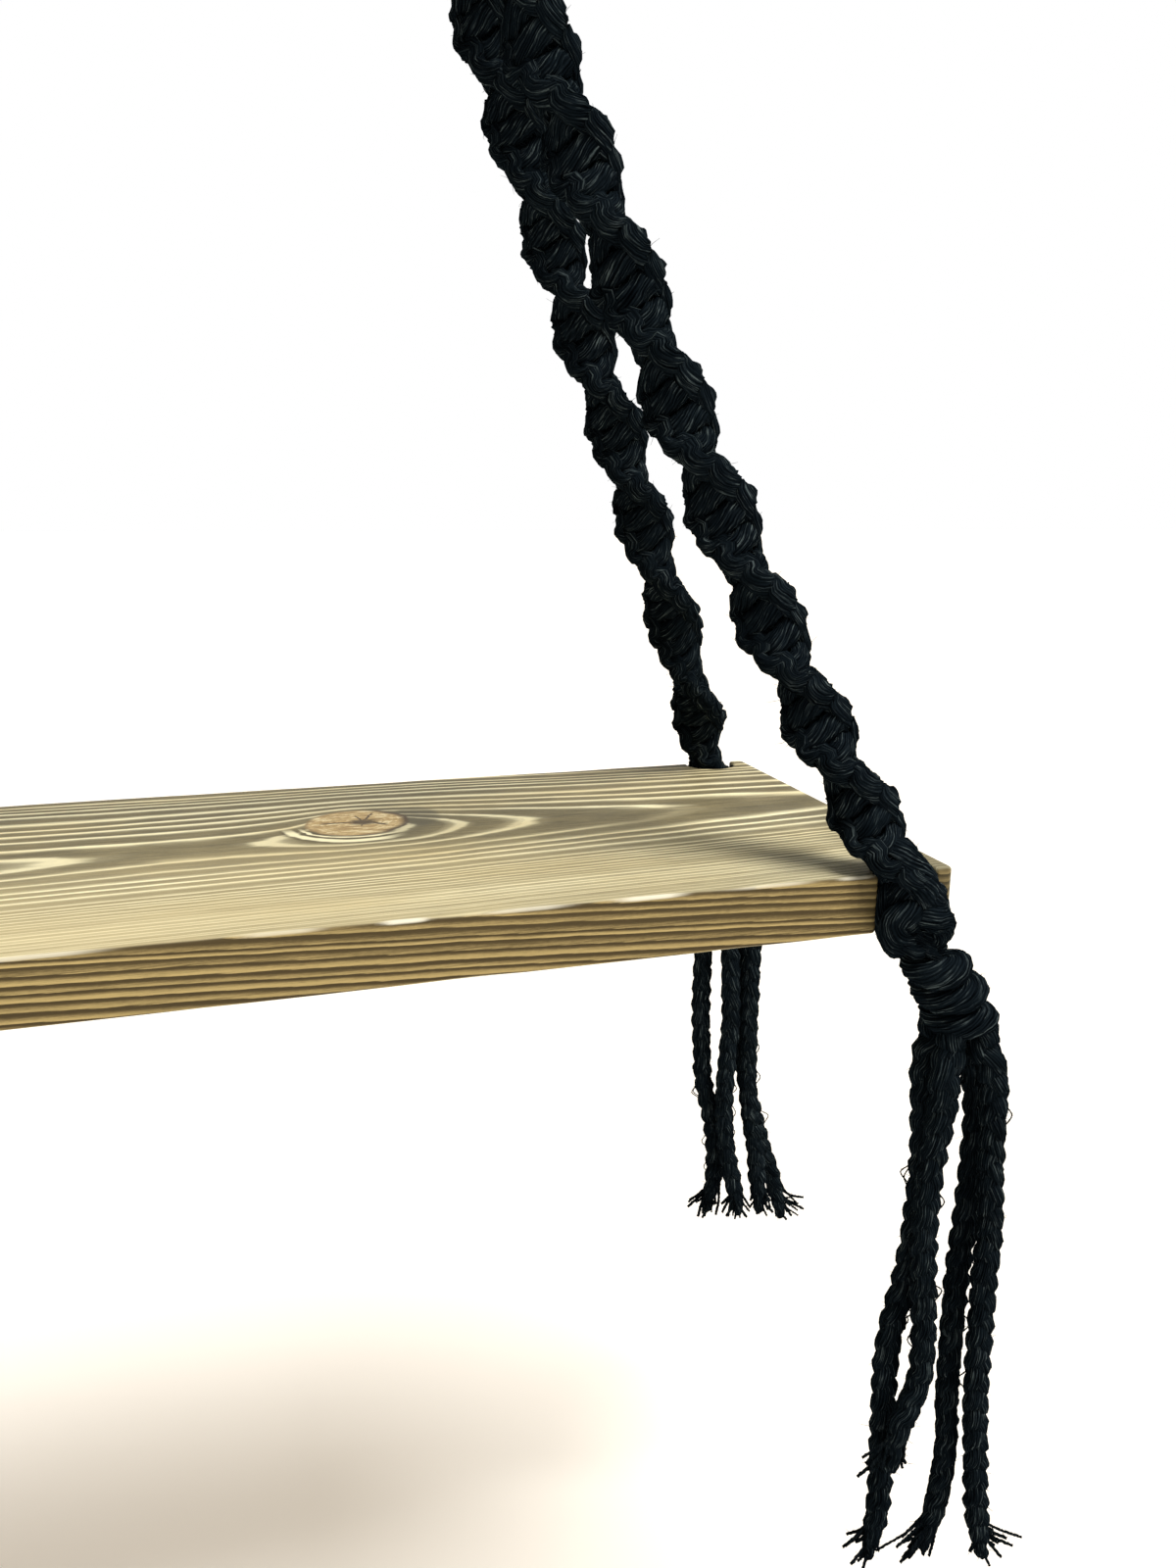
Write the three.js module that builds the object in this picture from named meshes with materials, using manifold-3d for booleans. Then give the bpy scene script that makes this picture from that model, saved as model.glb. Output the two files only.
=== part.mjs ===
// Hanging rope shelf: one pine board held near its four corners by spiral sinnets of
// half knots, with a stop knot and a four-cord tassel under each corner and one ring on top.
// Millimetres, +Z up, +X along the board, front edge at -Y. The origin is where the hook
// bears on the inside of the ring.

import * as THREE from "three";
import { mergeVertices } from "three/addons/utils/BufferGeometryUtils.js";
import Module from "manifold-3d";

const wasm = await Module();
wasm.setup();

// Driving dimensions
const board_length = 400;
const board_depth = 160;
const board_thickness = 19;
const board_corner_radius = 2.5;
const board_edge_ease = 1.1;
const notch_width = 20;
const notch_depth = 13;
const notch_from_end = 16;
const hook_to_board = 525;
const ring_diameter = 60;
const ring_wire = 5;
const strand_diameter = 6.2;
const tassel_cord_diameter = 9;
const bundle_diameter = 29;
const bundle_length = 34;
const wrap_cord_diameter = 5;
const wrap_turns = 5;
const wrap_turn_gap = 0.6;
const ring_to_bundle = 12;
const sinnet_width = 22.2;
const sinnet_thickness = 12;
const half_turn_length = 34.5;
const half_knot_length = 7.7;
const half_knot_relief = 0.7;
const loose_strand_length = 70;
const rope_from_end = 18.3;
const back_foot_drift = 2.7;
const knot_drop = 46.5;
const knot_drift = 22.3;
const back_knot_drift = 17.8;
const knot_out = 3;
const front_facing_height = 136;
const back_facing_height = 134;
const knot_width = 23;
const knot_ball_diameter = 24;
const fit_gap = 0.3;

// Sizes that follow from them
const board_top = -hook_to_board;
const board_bottom = board_top - board_thickness;
const notch_radius = notch_width / 2;
const notch_x = board_length / 2 - notch_from_end;
const wire_radius = ring_wire / 2;
const ring_radius = ring_diameter / 2 - wire_radius;
const ring_centre_z = wire_radius - ring_radius;
const strand_radius = strand_diameter / 2;
const bundle_radius = bundle_diameter / 2;
const bundle_top = ring_centre_z - ring_diameter / 2 - ring_to_bundle;
const bundle_bottom = bundle_top - bundle_length;
const gather_z = bundle_bottom - fit_gap;
const gather_offset = strand_diameter + fit_gap;
const ball_radius = knot_ball_diameter / 2;
const tassel_seat = ball_radius + fit_gap;

// Colours
const pine = new THREE.MeshStandardMaterial({ color: 0xc6b489, roughness: 0.62, metalness: 0 });
const cotton = new THREE.MeshStandardMaterial({ color: 0x1d2021, roughness: 0.95, metalness: 0 });
const steel = new THREE.MeshStandardMaterial({ color: 0x8a8c8e, roughness: 0.35, metalness: 1 });

const X_AXIS = new THREE.Vector3(1, 0, 0);
const Z_AXIS = new THREE.Vector3(0, 0, 1);

function vec(x, y, z) {
  return new THREE.Vector3(x, y, z);
}

// A closed geometry as a solid that can be joined and cut.
function toSolid(geometry) {
  const plain = geometry.clone();
  plain.deleteAttribute("normal");
  plain.deleteAttribute("uv");
  const merged = mergeVertices(plain);
  const count = merged.index.count;
  return new wasm.Manifold(
    new wasm.Mesh({
      numProp: 3,
      vertProperties: new Float32Array(merged.attributes.position.array),
      triVerts: Uint32Array.from({ length: count }, (_, i) => merged.index.getX(i)),
    }),
  );
}

function toGeometry(solid) {
  const mesh = solid.getMesh();
  const geometry = new THREE.BufferGeometry();
  geometry.setAttribute("position", new THREE.BufferAttribute(mesh.vertProperties, mesh.numProp));
  geometry.setIndex(new THREE.BufferAttribute(mesh.triVerts, 1));
  geometry.computeVertexNormals();
  return geometry;
}

function makeMesh(name, geometry, material) {
  const mesh = new THREE.Mesh(geometry, material);
  mesh.name = name;
  return mesh;
}

// One closed skin over a row of rings with the same number of points, each ring running
// counter-clockwise as seen from the end of the row.
function skinOver(rings) {
  const sides = rings[0].length;
  const points = rings.flat();
  const faces = [];
  for (let i = 0; i + 1 < rings.length; i++) {
    for (let j = 0; j < sides; j++) {
      const a = i * sides + j;
      const b = i * sides + ((j + 1) % sides);
      faces.push(a, b, b + sides, a, b + sides, a + sides);
    }
  }
  const last = (rings.length - 1) * sides;
  for (let j = 1; j + 1 < sides; j++) {
    faces.push(0, j + 1, j, last, last + j, last + j + 1);
  }
  const geometry = new THREE.BufferGeometry().setFromPoints(points);
  geometry.setIndex(faces);
  return geometry;
}

// A round tube along a curve.
function tubeAlong(curve, radius, sides, steps) {
  const section = new THREE.Shape();
  for (let i = 0; i < sides; i++) {
    const angle = (2 * Math.PI * i) / sides;
    const x = radius * Math.cos(angle);
    const y = radius * Math.sin(angle);
    if (i === 0) section.moveTo(x, y);
    else section.lineTo(x, y);
  }
  section.closePath();
  return new THREE.ExtrudeGeometry(section, { extrudePath: curve, steps, bevelEnabled: false });
}

// The board's outline with its four round-bottomed notches, grown all round by a margin.
function boardOutline(margin) {
  const x = board_length / 2 + margin;
  const y = board_depth / 2 + margin;
  const r = board_corner_radius + margin;
  const n = notch_radius - margin;
  const floor = board_depth / 2 - notch_depth + notch_radius;
  const shape = new THREE.Shape();
  shape.moveTo(r - x, -y);
  for (const centre of [-notch_x, notch_x]) {
    shape.lineTo(centre - n, -y);
    shape.absarc(centre, -floor, n, Math.PI, 0, true);
    shape.lineTo(centre + n, -y);
  }
  shape.absarc(x - r, r - y, r, -Math.PI / 2, 0, false);
  shape.absarc(x - r, y - r, r, 0, Math.PI / 2, false);
  for (const centre of [notch_x, -notch_x]) {
    shape.lineTo(centre + n, y);
    shape.absarc(centre, floor, n, 0, Math.PI, true);
    shape.lineTo(centre - n, y);
  }
  shape.absarc(r - x, y - r, r, Math.PI / 2, Math.PI, false);
  shape.absarc(r - x, r - y, r, Math.PI, 1.5 * Math.PI, false);
  return shape;
}

function boardGeometry() {
  const geometry = new THREE.ExtrudeGeometry(boardOutline(0), {
    depth: board_thickness - 2 * board_edge_ease,
    curveSegments: 6,
    bevelThickness: board_edge_ease,
    bevelSize: board_edge_ease,
    bevelOffset: -board_edge_ease,
    bevelSegments: 1,
  });
  return geometry.translate(0, 0, board_bottom + board_edge_ease);
}

// The room the board takes from the ropes and knots: its own shape and the fitting gap.
function boardRoom() {
  const geometry = new THREE.ExtrudeGeometry(boardOutline(fit_gap), {
    depth: board_thickness + 2 * fit_gap,
    curveSegments: 8,
    bevelEnabled: false,
  });
  return toSolid(geometry.translate(0, 0, board_bottom - fit_gap));
}

// Routes of the ropes above the board, as shares of the rise to the gathering point, of the
// way in along the board and of the way in across it. The ropes bow inward a little.
const front_route_shares = [
  [0.059, 0.937, 0.871],
  [0.1415, 0.846, 0.676],
  [0.283, 0.705, 0.472],
  [0.472, 0.517, 0.32],
  [0.7075, 0.289, 0.129],
];
const back_route_shares = [
  [0.059, 0.955, 0.871],
  [0.1415, 0.875, 0.676],
  [0.283, 0.74, 0.472],
  [0.472, 0.551, 0.32],
  [0.7075, 0.312, 0.129],
];

// How the two ropes of one end differ, as the hand-tied ones do: side across the board,
// route, drift of the foot and of the knot along the board, and height above the board at
// which one flat of the sinnet faces forward.
const front_rope = {
  side: -1,
  route: front_route_shares,
  foot_drift: 0,
  knot_drift,
  facing_height: front_facing_height,
};
const back_rope = {
  side: 1,
  route: back_route_shares,
  foot_drift: back_foot_drift,
  knot_drift: back_knot_drift,
  facing_height: back_facing_height,
};

// Angle of the sinnet's width from the board's length where it faces forward.
const facing_angle = THREE.MathUtils.degToRad(-21);

// Where a rope's middle passes under the board, as shares of the way from its foot to its
// knot and of the knot's distance outside the board's edge.
const under_share = 0.36;
const under_out_share = 1.3;

function footOf(rope) {
  const x = board_length / 2 - rope_from_end + rope.foot_drift;
  return vec(x, (rope.side * board_depth) / 2, board_top);
}

function ballOf(rope) {
  const x = board_length / 2 - rope_from_end + rope.knot_drift;
  return vec(x, rope.side * (board_depth / 2 + knot_out), board_top - knot_drop);
}

// The middle of one rope from the centre of its knot's ball up to the gathering point.
function ropeCurve(rope) {
  const ball = ballOf(rope);
  const foot = footOf(rope);
  const head = vec(gather_offset, rope.side * gather_offset, gather_z);
  const under = foot.clone().lerp(ball, under_share).setZ(board_bottom);
  under.setY(rope.side * (board_depth / 2 + under_out_share * knot_out));
  const rising = rope.route.map(([rise, along, across]) =>
    vec(
      THREE.MathUtils.lerp(head.x, foot.x, along),
      THREE.MathUtils.lerp(head.y, foot.y, across),
      THREE.MathUtils.lerp(foot.z, head.z, rise),
    ),
  );
  const end = head.clone().setZ(head.z + strand_diameter);
  return new THREE.CatmullRomCurve3([ball, under, foot, ...rising, head, end], false, "centripetal");
}

// The share of a rope's length at which it passes a height.
function shareAtHeight(curve, z) {
  let low = 0;
  let high = 1;
  for (let i = 0; i < 30; i++) {
    const middle = (low + high) / 2;
    if (curve.getPointAt(middle).z < z) low = middle;
    else high = middle;
  }
  return (low + high) / 2;
}

// Two directions square to a rope, the first in the plane of the board's length.
function crossDirections(tangent) {
  const across = X_AXIS.clone().addScaledVector(tangent, -X_AXIS.dot(tangent)).normalize();
  return [across, tangent.clone().cross(across)];
}

// Everything above a level plane, or beyond a plane square to a rope at one point.
function beyond(point, direction) {
  const size = sinnet_width + knot_width;
  const block = new THREE.BoxGeometry(size, size, size).translate(0, 0, size / 2);
  block.applyQuaternion(new THREE.Quaternion().setFromUnitVectors(Z_AXIS, direction));
  return toSolid(block.translate(point.x, point.y, point.z));
}

const section_points = 8;
const rings_per_half_knot = 2;
const loose_rings = 6;
const sinnet_foot_share = 0.26;

// A spiral sinnet: a flat two-lobed section that turns left-handed along the rope and
// swells at each half knot, running out at the top into the strands that make it.
function sinnetGeometry(rope, room) {
  const curve = ropeCurve(rope);
  const length = curve.getLength();
  const start = shareAtHeight(curve, board_top - sinnet_foot_share * knot_drop) * length + fit_gap;
  const knotted_end = length - loose_strand_length;
  const facing = shareAtHeight(curve, board_top + rope.facing_height) * length;
  const steps = Math.round((rings_per_half_knot * (knotted_end - start)) / half_knot_length);
  const rings = [];
  const addRing = (distance, half_width, half_thickness) => {
    const share = distance / length;
    const centre = curve.getPointAt(share);
    const [across, up] = crossDirections(curve.getTangentAt(share));
    const turn = facing_angle - (Math.PI * (distance - facing)) / half_turn_length;
    const ring = [];
    for (let j = 0; j < section_points; j++) {
      const angle = (2 * Math.PI * (j + 0.5)) / section_points;
      const corner = Math.cos(Math.PI / section_points);
      const flat = (half_width * Math.cos(angle)) / corner;
      const thick = (half_thickness * Math.sin(angle)) / corner;
      const a = flat * Math.cos(turn) - thick * Math.sin(turn);
      const b = flat * Math.sin(turn) + thick * Math.cos(turn);
      ring.push(centre.clone().addScaledVector(across, a).addScaledVector(up, b));
    }
    rings.push(ring);
  };
  for (let i = 0; i <= steps; i++) {
    const swell = (i % rings_per_half_knot === 0 ? -0.5 : 0.5) * half_knot_relief;
    const distance = THREE.MathUtils.lerp(start, knotted_end, i / steps);
    addRing(distance, sinnet_width / 2 + swell, sinnet_thickness / 2 + swell);
  }
  for (let i = 1; i <= loose_rings; i++) {
    const share = i / loose_rings;
    const distance = THREE.MathUtils.lerp(knotted_end, length, share);
    const half_width = THREE.MathUtils.lerp(sinnet_width / 2, strand_diameter, Math.sqrt(share));
    addRing(distance, half_width, THREE.MathUtils.lerp(sinnet_thickness / 2, strand_diameter, share));
  }
  const above = beyond(vec(0, 0, gather_z), Z_AXIS);
  return toGeometry(toSolid(skinOver(rings)).subtract(above).subtract(room));
}

// Tiers of a stop knot from the top: place as a share of the drop to the ball's centre,
// then length, depth and height as shares of the knot's width.
const tier_shares = [
  [0.4, 1, 1.06, 0.72],
  [0.66, 0.92, 0.96, 0.56],
  [0.86, 1, 1, 0.6],
];

// A stop knot: rolls of cord pulled down on each other under the board, ending in a ball.
function knotGeometry(rope, room) {
  const curve = ropeCurve(rope);
  const ball = ballOf(rope);
  let knot = toSolid(new THREE.SphereGeometry(ball_radius, 12, 8).translate(ball.x, ball.y, ball.z));
  for (const [drop, along, across, tall] of tier_shares) {
    const share = shareAtHeight(curve, board_top - drop * knot_drop);
    const centre = curve.getPointAt(share);
    const roll = new THREE.SphereGeometry(knot_width / 2, 10, 6).rotateX(Math.PI / 2);
    roll.scale(along, across, tall);
    const lean = new THREE.Quaternion().setFromUnitVectors(Z_AXIS, curve.getTangentAt(share));
    roll.applyQuaternion(lean).translate(centre.x, centre.y, centre.z);
    knot = knot.add(toSolid(roll));
  }
  const top_share = shareAtHeight(curve, board_top - sinnet_foot_share * knot_drop);
  const above = beyond(curve.getPointAt(top_share), curve.getTangentAt(top_share));
  return toGeometry(knot.subtract(above).subtract(room));
}

// Routes of the tassel cords from their knot's ball down to their frayed tips, in millimetres
// from the ball's centre, chosen by hand. The first two points run straight out of the ball.
const front_cord_routes = [
  [[-5.6, -4.9, -9.9], [-7.9, -6.5, -15.2], [-7.6, -6, -30], [-9.3, -5.6, -45], [-10.1, -5.4, -60],
    [-9.8, -5.3, -78], [-8.2, -5.3, -98], [-7, -5.4, -116], [-7.2, -5.6, -128], [-9.8, -5.8, -137],
    [-13.4, -6, -145], [-15.2, -6.2, -155], [-15.6, -6.4, -164]],
  [[-5.6, 4.9, -9.9], [-7.9, 6.3, -15.4], [-9.9, 5.2, -30], [-9.2, 4.4, -50], [-10.2, 4.2, -75],
    [-11.6, 4.2, -99], [-14, 4.2, -114], [-14.4, 4.2, -130], [-13.8, 4.3, -152], [-12.8, 4.5, -175],
    [-12.9, 4.6, -191], [-14.3, 4.6, -203], [-15.6, 4.6, -212]],
  [[5.6, 4.9, -9.9], [8.4, 6.2, -15.6], [12, 5.9, -27], [14, 5.6, -41], [13.8, 5.5, -62],
    [12.8, 5.4, -84], [12, 5.4, -104], [11.8, 5.4, -128], [12.4, 5.5, -152], [13.9, 5.6, -170],
    [13.4, 5.7, -186], [11.8, 5.8, -198], [9.8, 5.9, -208], [8, 6, -217]],
  [[5.6, -4.9, -9.9], [8.2, -6.2, -15.6], [11.6, -5.4, -24], [13.8, -4.5, -38], [15, -4.2, -57],
    [15.8, -4.1, -78], [15.5, -4.1, -95], [16, -4.1, -116], [16.4, -4.1, -136], [17.4, -4.1, -152],
    [19.4, -4.1, -172], [21.6, -4.2, -192], [24, -4.3, -205], [26.2, -4.4, -215]],
];
const back_cord_routes = [
  [[-5.6, 4.9, -9.9], [-8.4, 6.2, -15.6], [-10.8, 5.6, -30], [-11.5, 5.2, -46], [-11.9, 4.9, -62],
    [-11.8, 4.8, -78], [-10.9, 4.8, -94], [-9.6, 5, -110], [-6.9, 5.3, -122], [-4.2, 5.4, -134],
    [-2.5, 5.5, -151], [-2.4, 5.6, -163], [-4.2, 5.6, -173], [-5.9, 5.6, -182]],
  [[-5.6, -4.9, -9.9], [-7.8, -6.2, -15.6], [-5.8, -5.6, -28], [-2.6, -5, -44], [-1.6, -4.8, -60],
    [-0.8, -4.6, -76], [-1.6, -4.4, -92], [-2.5, -4.4, -108], [-2.4, -4.4, -125], [-0.8, -4.6, -142],
    [3, -4.8, -160], [5.6, -4.8, -171], [7, -4.8, -179]],
  [[5.6, -4.9, -9.9], [8.2, -6.2, -15.6], [9, -5, -28], [8.6, -4.2, -46], [8.8, -3.8, -62],
    [8.8, -3.6, -78], [9, -3.6, -94], [9.4, -3.6, -110], [11.4, -3.6, -128], [14.6, -3.6, -145],
    [16.6, -3.6, -163], [17.6, -3.6, -173], [18, -3.6, -181]],
  [[5.6, 4.9, -9.9], [8.2, 6.2, -15.6], [9.6, 6.2, -28], [9.6, 6.2, -46], [9.4, 6.2, -62],
    [9.6, 6.2, -78], [10.4, 6.3, -94], [12.6, 6.4, -112], [16.4, 6.6, -127], [20.4, 7, -141],
    [24, 7.4, -153], [28.4, 7.8, -165], [31.4, 8, -175], [34, 8.1, -185], [36.4, 8.2, -195]],
];

const cord_sides = 8;
const cord_step_diameters = 2.6;

function tasselCordGeometry(rope, route) {
  const ball = ballOf(rope);
  const points = route.map(([x, y, z]) => vec(x, y, z));
  points[0].setLength(tassel_seat);
  const curve = new THREE.CatmullRomCurve3(points, false, "centripetal");
  const steps = Math.round(curve.getLength() / (cord_step_diameters * tassel_cord_diameter));
  const tube = tubeAlong(curve, tassel_cord_diameter / 2, cord_sides, steps);
  return tube.translate(ball.x, ball.y, ball.z);
}

// Loops of the eight long cords over the ring, side by side round its lower half.
const loop_count = 8;
const loop_pitch = THREE.MathUtils.degToRad(16.6);
const loop_sides = 6;
const loop_steps = 11;
const half_circle_steps = 6;
const loop_radius = wire_radius + fit_gap + strand_radius / Math.cos(Math.PI / loop_sides);
const leg_spread_share = 1.35;

function loopCurve(index) {
  const angle = (index - (loop_count - 1) / 2) * loop_pitch;
  const outward = vec(Math.sin(angle), 0, -Math.cos(angle));
  const wire = vec(0, 0, ring_centre_z).addScaledVector(outward, ring_radius);
  const leg_radius = bundle_radius - strand_radius;
  const leg_x = leg_radius * Math.sin(angle * leg_spread_share);
  const leg_y = leg_radius * Math.cos(angle * leg_spread_share);
  const points = [vec(leg_x, -leg_y, bundle_top - strand_radius)];
  for (let i = 0; i <= half_circle_steps; i++) {
    const turn = (Math.PI * i) / half_circle_steps;
    const point = wire.clone().addScaledVector(outward, -loop_radius * Math.sin(turn));
    points.push(point.add(vec(0, -loop_radius * Math.cos(turn), 0)));
  }
  points.push(vec(leg_x, leg_y, bundle_top - strand_radius));
  return new THREE.CatmullRomCurve3(points, false, "centripetal");
}

function loopsGeometry() {
  const core = new THREE.CylinderGeometry(bundle_radius, bundle_radius, bundle_length, 20);
  core.rotateX(Math.PI / 2).translate(0, 0, bundle_top - bundle_length / 2);
  let solid = toSolid(core);
  for (let i = 0; i < loop_count; i++) {
    solid = solid.add(toSolid(tubeAlong(loopCurve(i), strand_radius, loop_sides, loop_steps)));
  }
  return toGeometry(solid);
}

// The gathering cord: one unbroken winding round the bundle.
class WrapCurve extends THREE.Curve {
  getPoint(share, target = new THREE.Vector3()) {
    const radius = bundle_radius + fit_gap + wrap_cord_diameter / 2;
    const pitch = wrap_cord_diameter + wrap_turn_gap;
    const angle = 2 * Math.PI * wrap_turns * share;
    const lowest = (bundle_top + bundle_bottom - wrap_turns * pitch) / 2;
    return target.set(
      radius * Math.cos(angle),
      radius * Math.sin(angle),
      lowest + pitch * wrap_turns * share,
    );
  }
}

const wrap_sides = 6;
const steps_per_turn = 24;

function wrapGeometry() {
  const tube_radius = wrap_cord_diameter / 2 / Math.cos(Math.PI / steps_per_turn);
  return tubeAlong(new WrapCurve(), tube_radius, wrap_sides, wrap_turns * steps_per_turn);
}

const ring_sides = 8;
const ring_steps = 40;

function ringGeometry() {
  const torus = new THREE.TorusGeometry(ring_radius, wire_radius, ring_sides, ring_steps);
  return torus.rotateX(Math.PI / 2).translate(0, 0, ring_centre_z);
}

// The two ropes at one end of the board, with their knots and tassels.
function endOfShelf(end_name, ropes, room) {
  const end = new THREE.Group();
  for (const [corner, rope, routes] of ropes) {
    const name = `${corner}_${end_name}`;
    end.add(makeMesh(`${name}_sinnet`, sinnetGeometry(rope, room), cotton));
    end.add(makeMesh(`${name}_stop_knot`, knotGeometry(rope, room), cotton));
    routes.forEach((route, i) => {
      end.add(makeMesh(`${name}_tassel_cord_${i + 1}`, tasselCordGeometry(rope, route), cotton));
    });
  }
  return end;
}

const shelf = new THREE.Group();
const room = boardRoom();
shelf.add(makeMesh("hanging_ring", ringGeometry(), steel));
shelf.add(makeMesh("ring_loops", loopsGeometry(), cotton));
shelf.add(makeMesh("gathering_wrap", wrapGeometry(), cotton));
shelf.add(makeMesh("shelf_board", boardGeometry(), pine));

const right_end = endOfShelf(
  "right",
  [
    ["front", front_rope, front_cord_routes],
    ["back", back_rope, back_cord_routes],
  ],
  room,
);
shelf.add(right_end);

// The left end is the right end turned half round, so its front rope is the other's back one.
const left_end = endOfShelf(
  "left",
  [
    ["back", front_rope, front_cord_routes],
    ["front", back_rope, back_cord_routes],
  ],
  room,
);
left_end.rotation.z = Math.PI;
shelf.add(left_end);

export default shelf;
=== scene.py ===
"""The looks of a hanging rope shelf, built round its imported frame.

One stained pine board hangs at its four corners from black cotton ropes. Each rope is a
spiral of half knots with a stop knot and a tassel of four cords under the board, and all
four meet under one steel ring. Everything is in metres, in the frame's own place.
"""

import logging
import math
from dataclasses import dataclass, field
from enum import Enum
from typing import Any, Callable, Sequence

import bmesh
import bpy
import numpy as np
from mathutils import Matrix, Vector

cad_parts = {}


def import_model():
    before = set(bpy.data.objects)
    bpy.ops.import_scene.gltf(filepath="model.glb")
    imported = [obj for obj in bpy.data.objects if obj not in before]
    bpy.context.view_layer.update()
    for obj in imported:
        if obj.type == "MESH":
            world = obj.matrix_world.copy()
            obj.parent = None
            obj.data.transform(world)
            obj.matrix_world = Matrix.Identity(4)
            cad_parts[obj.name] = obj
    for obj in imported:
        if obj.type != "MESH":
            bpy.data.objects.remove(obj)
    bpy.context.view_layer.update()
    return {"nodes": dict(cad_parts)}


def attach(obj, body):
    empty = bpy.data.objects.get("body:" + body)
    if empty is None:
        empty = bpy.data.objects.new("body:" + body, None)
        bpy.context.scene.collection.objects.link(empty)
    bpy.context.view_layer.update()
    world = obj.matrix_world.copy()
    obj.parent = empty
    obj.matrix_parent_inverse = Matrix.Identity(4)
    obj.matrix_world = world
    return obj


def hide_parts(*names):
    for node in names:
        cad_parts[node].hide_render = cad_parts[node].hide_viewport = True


LOG = logging.getLogger("rope_shelf")
MM = 0.001
SHELF_BODY = "shelf"
RING_BODY = "ring"

Array = np.ndarray
Triple = tuple[float, float, float]
Stops = Sequence[tuple[float, Any]]


def unit(rows: Array) -> Array:
    """Returns the rows, each scaled to length one."""
    return rows / np.maximum(np.linalg.norm(rows, axis=-1, keepdims=True), 1e-12)


def square_to(rows: Array, axes: Array) -> Array:
    """Returns what is left of each row square to its axis, at length one."""
    return unit(rows - np.sum(rows * axes, axis=1, keepdims=True) * axes)


def ease(value: Array | float, low: float, high: float) -> Array | float:
    """Returns a smooth step from nought at low to one at high."""
    share = np.clip((value - low) / (high - low), 0.0, 1.0)
    return share * share * (3.0 - 2.0 * share)


class Route:
    """A smooth line through points, read by the distance along it."""

    STEPS = 48

    def __init__(self, points: Sequence[Sequence[float]] | Array) -> None:
        """Lays a centripetal curve through the points.

        Args:
            points: places in order along the line.
        """
        self.dense = self._lay(np.asarray(points, float))
        steps = np.linalg.norm(np.diff(self.dense, axis=0), axis=1)
        self.reach = np.concatenate([[0.0], np.cumsum(steps)])
        self.length = float(self.reach[-1])

    def _lay(self, points: Array) -> Array:
        """Lays close points on a smooth curve.

        Args:
            points: the places that the curve runs through.

        Returns:
            The points in order.
        """
        ends = 2 * points[[0, -1]] - points[[1, -2]]
        row = np.vstack([ends[:1], points, ends[1:]])
        gaps = np.sqrt(np.linalg.norm(np.diff(row, axis=0), axis=1))
        share = (np.arange(self.STEPS) / self.STEPS)[:, None]
        spans = []
        for i in range(len(points) - 1):
            before, start, end, after = row[i:i + 4]
            a, b, c = gaps[i:i + 3]
            leave = ((start - before) / a - (end - before) / (a + b) + (end - start) / b) * b
            arrive = ((end - start) / b - (after - start) / (b + c) + (after - end) / c) * b
            square = -3 * start + 3 * end - 2 * leave - arrive
            cube = 2 * start - 2 * end + leave + arrive
            spans.append(start + leave * share + square * share**2 + cube * share**3)
        return np.vstack([*spans, points[-1:]])

    def at(self, distance: Array) -> Array:
        """Returns the points at distances along the line."""
        return np.stack([np.interp(distance, self.reach, self.dense[:, k]) for k in range(3)], axis=1)

    def tangent(self, distance: Array, reach: float = 0.2 * MM) -> Array:
        """Reads the line's direction.

        Args:
            distance: how far along the line.
            reach: how far back and ahead it looks.

        Returns:
            One direction for each distance.
        """
        back = np.clip(distance - reach, 0, self.length)
        ahead = np.clip(distance + reach, 0, self.length)
        return unit(self.at(ahead) - self.at(back))

    def spaced(self, step: float) -> Array:
        """Returns evenly spaced points about a step apart."""
        count = max(3, round(self.length / step) + 1)
        return self.at(np.linspace(0, self.length, count))

    def distance_at_height(self, height: float) -> float:
        """Returns how far along the line its height is first reached."""
        return float(np.interp(height, self.dense[:, 2], self.reach))


class Value:
    """One number or colour in a material, with its sums written as Python."""

    def __init__(self, graph: "Graph", socket: bpy.types.NodeSocket) -> None:
        """Keeps the output socket that carries the value."""
        self.graph = graph
        self.socket = socket

    def math(self, operation: str, *terms: Any) -> "Value":
        """Returns one Math node's result on this value and the terms."""
        sockets = dict(enumerate((self, *terms)))
        return self.graph.node("ShaderNodeMath", {"operation": operation}, sockets)

    def _reversed(self, operation: str, first: float) -> "Value":
        """Returns a Math node's result with a plain number first."""
        return self.graph.node("ShaderNodeMath", {"operation": operation}, {0: first, 1: self})

    def __add__(self, other: Any) -> "Value":
        """Returns the sum."""
        return self.math("ADD", other)

    def __sub__(self, other: Any) -> "Value":
        """Returns the difference."""
        return self.math("SUBTRACT", other)

    def __mul__(self, other: Any) -> "Value":
        """Returns the product."""
        return self.math("MULTIPLY", other)

    def __truediv__(self, other: Any) -> "Value":
        """Returns the quotient."""
        return self.math("DIVIDE", other)

    __radd__ = __add__
    __rmul__ = __mul__

    def __rsub__(self, other: float) -> "Value":
        """Returns a number less this value."""
        return self._reversed("SUBTRACT", other)

    def __rtruediv__(self, other: float) -> "Value":
        """Returns a number over this value."""
        return self._reversed("DIVIDE", other)

    def step(self, low: float, high: float) -> "Value":
        """Adds a smooth step.

        Args:
            low: the value at which the step is nought.
            high: the value at which it is one, which may be the lower one.

        Returns:
            The step.
        """
        sockets = {"Value": self, 1: min(low, high), 2: max(low, high), 3: 0.0, 4: 1.0}
        made = self.graph.node("ShaderNodeMapRange", {"interpolation_type": "SMOOTHSTEP"}, sockets)
        return made if low < high else 1.0 - made


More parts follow.
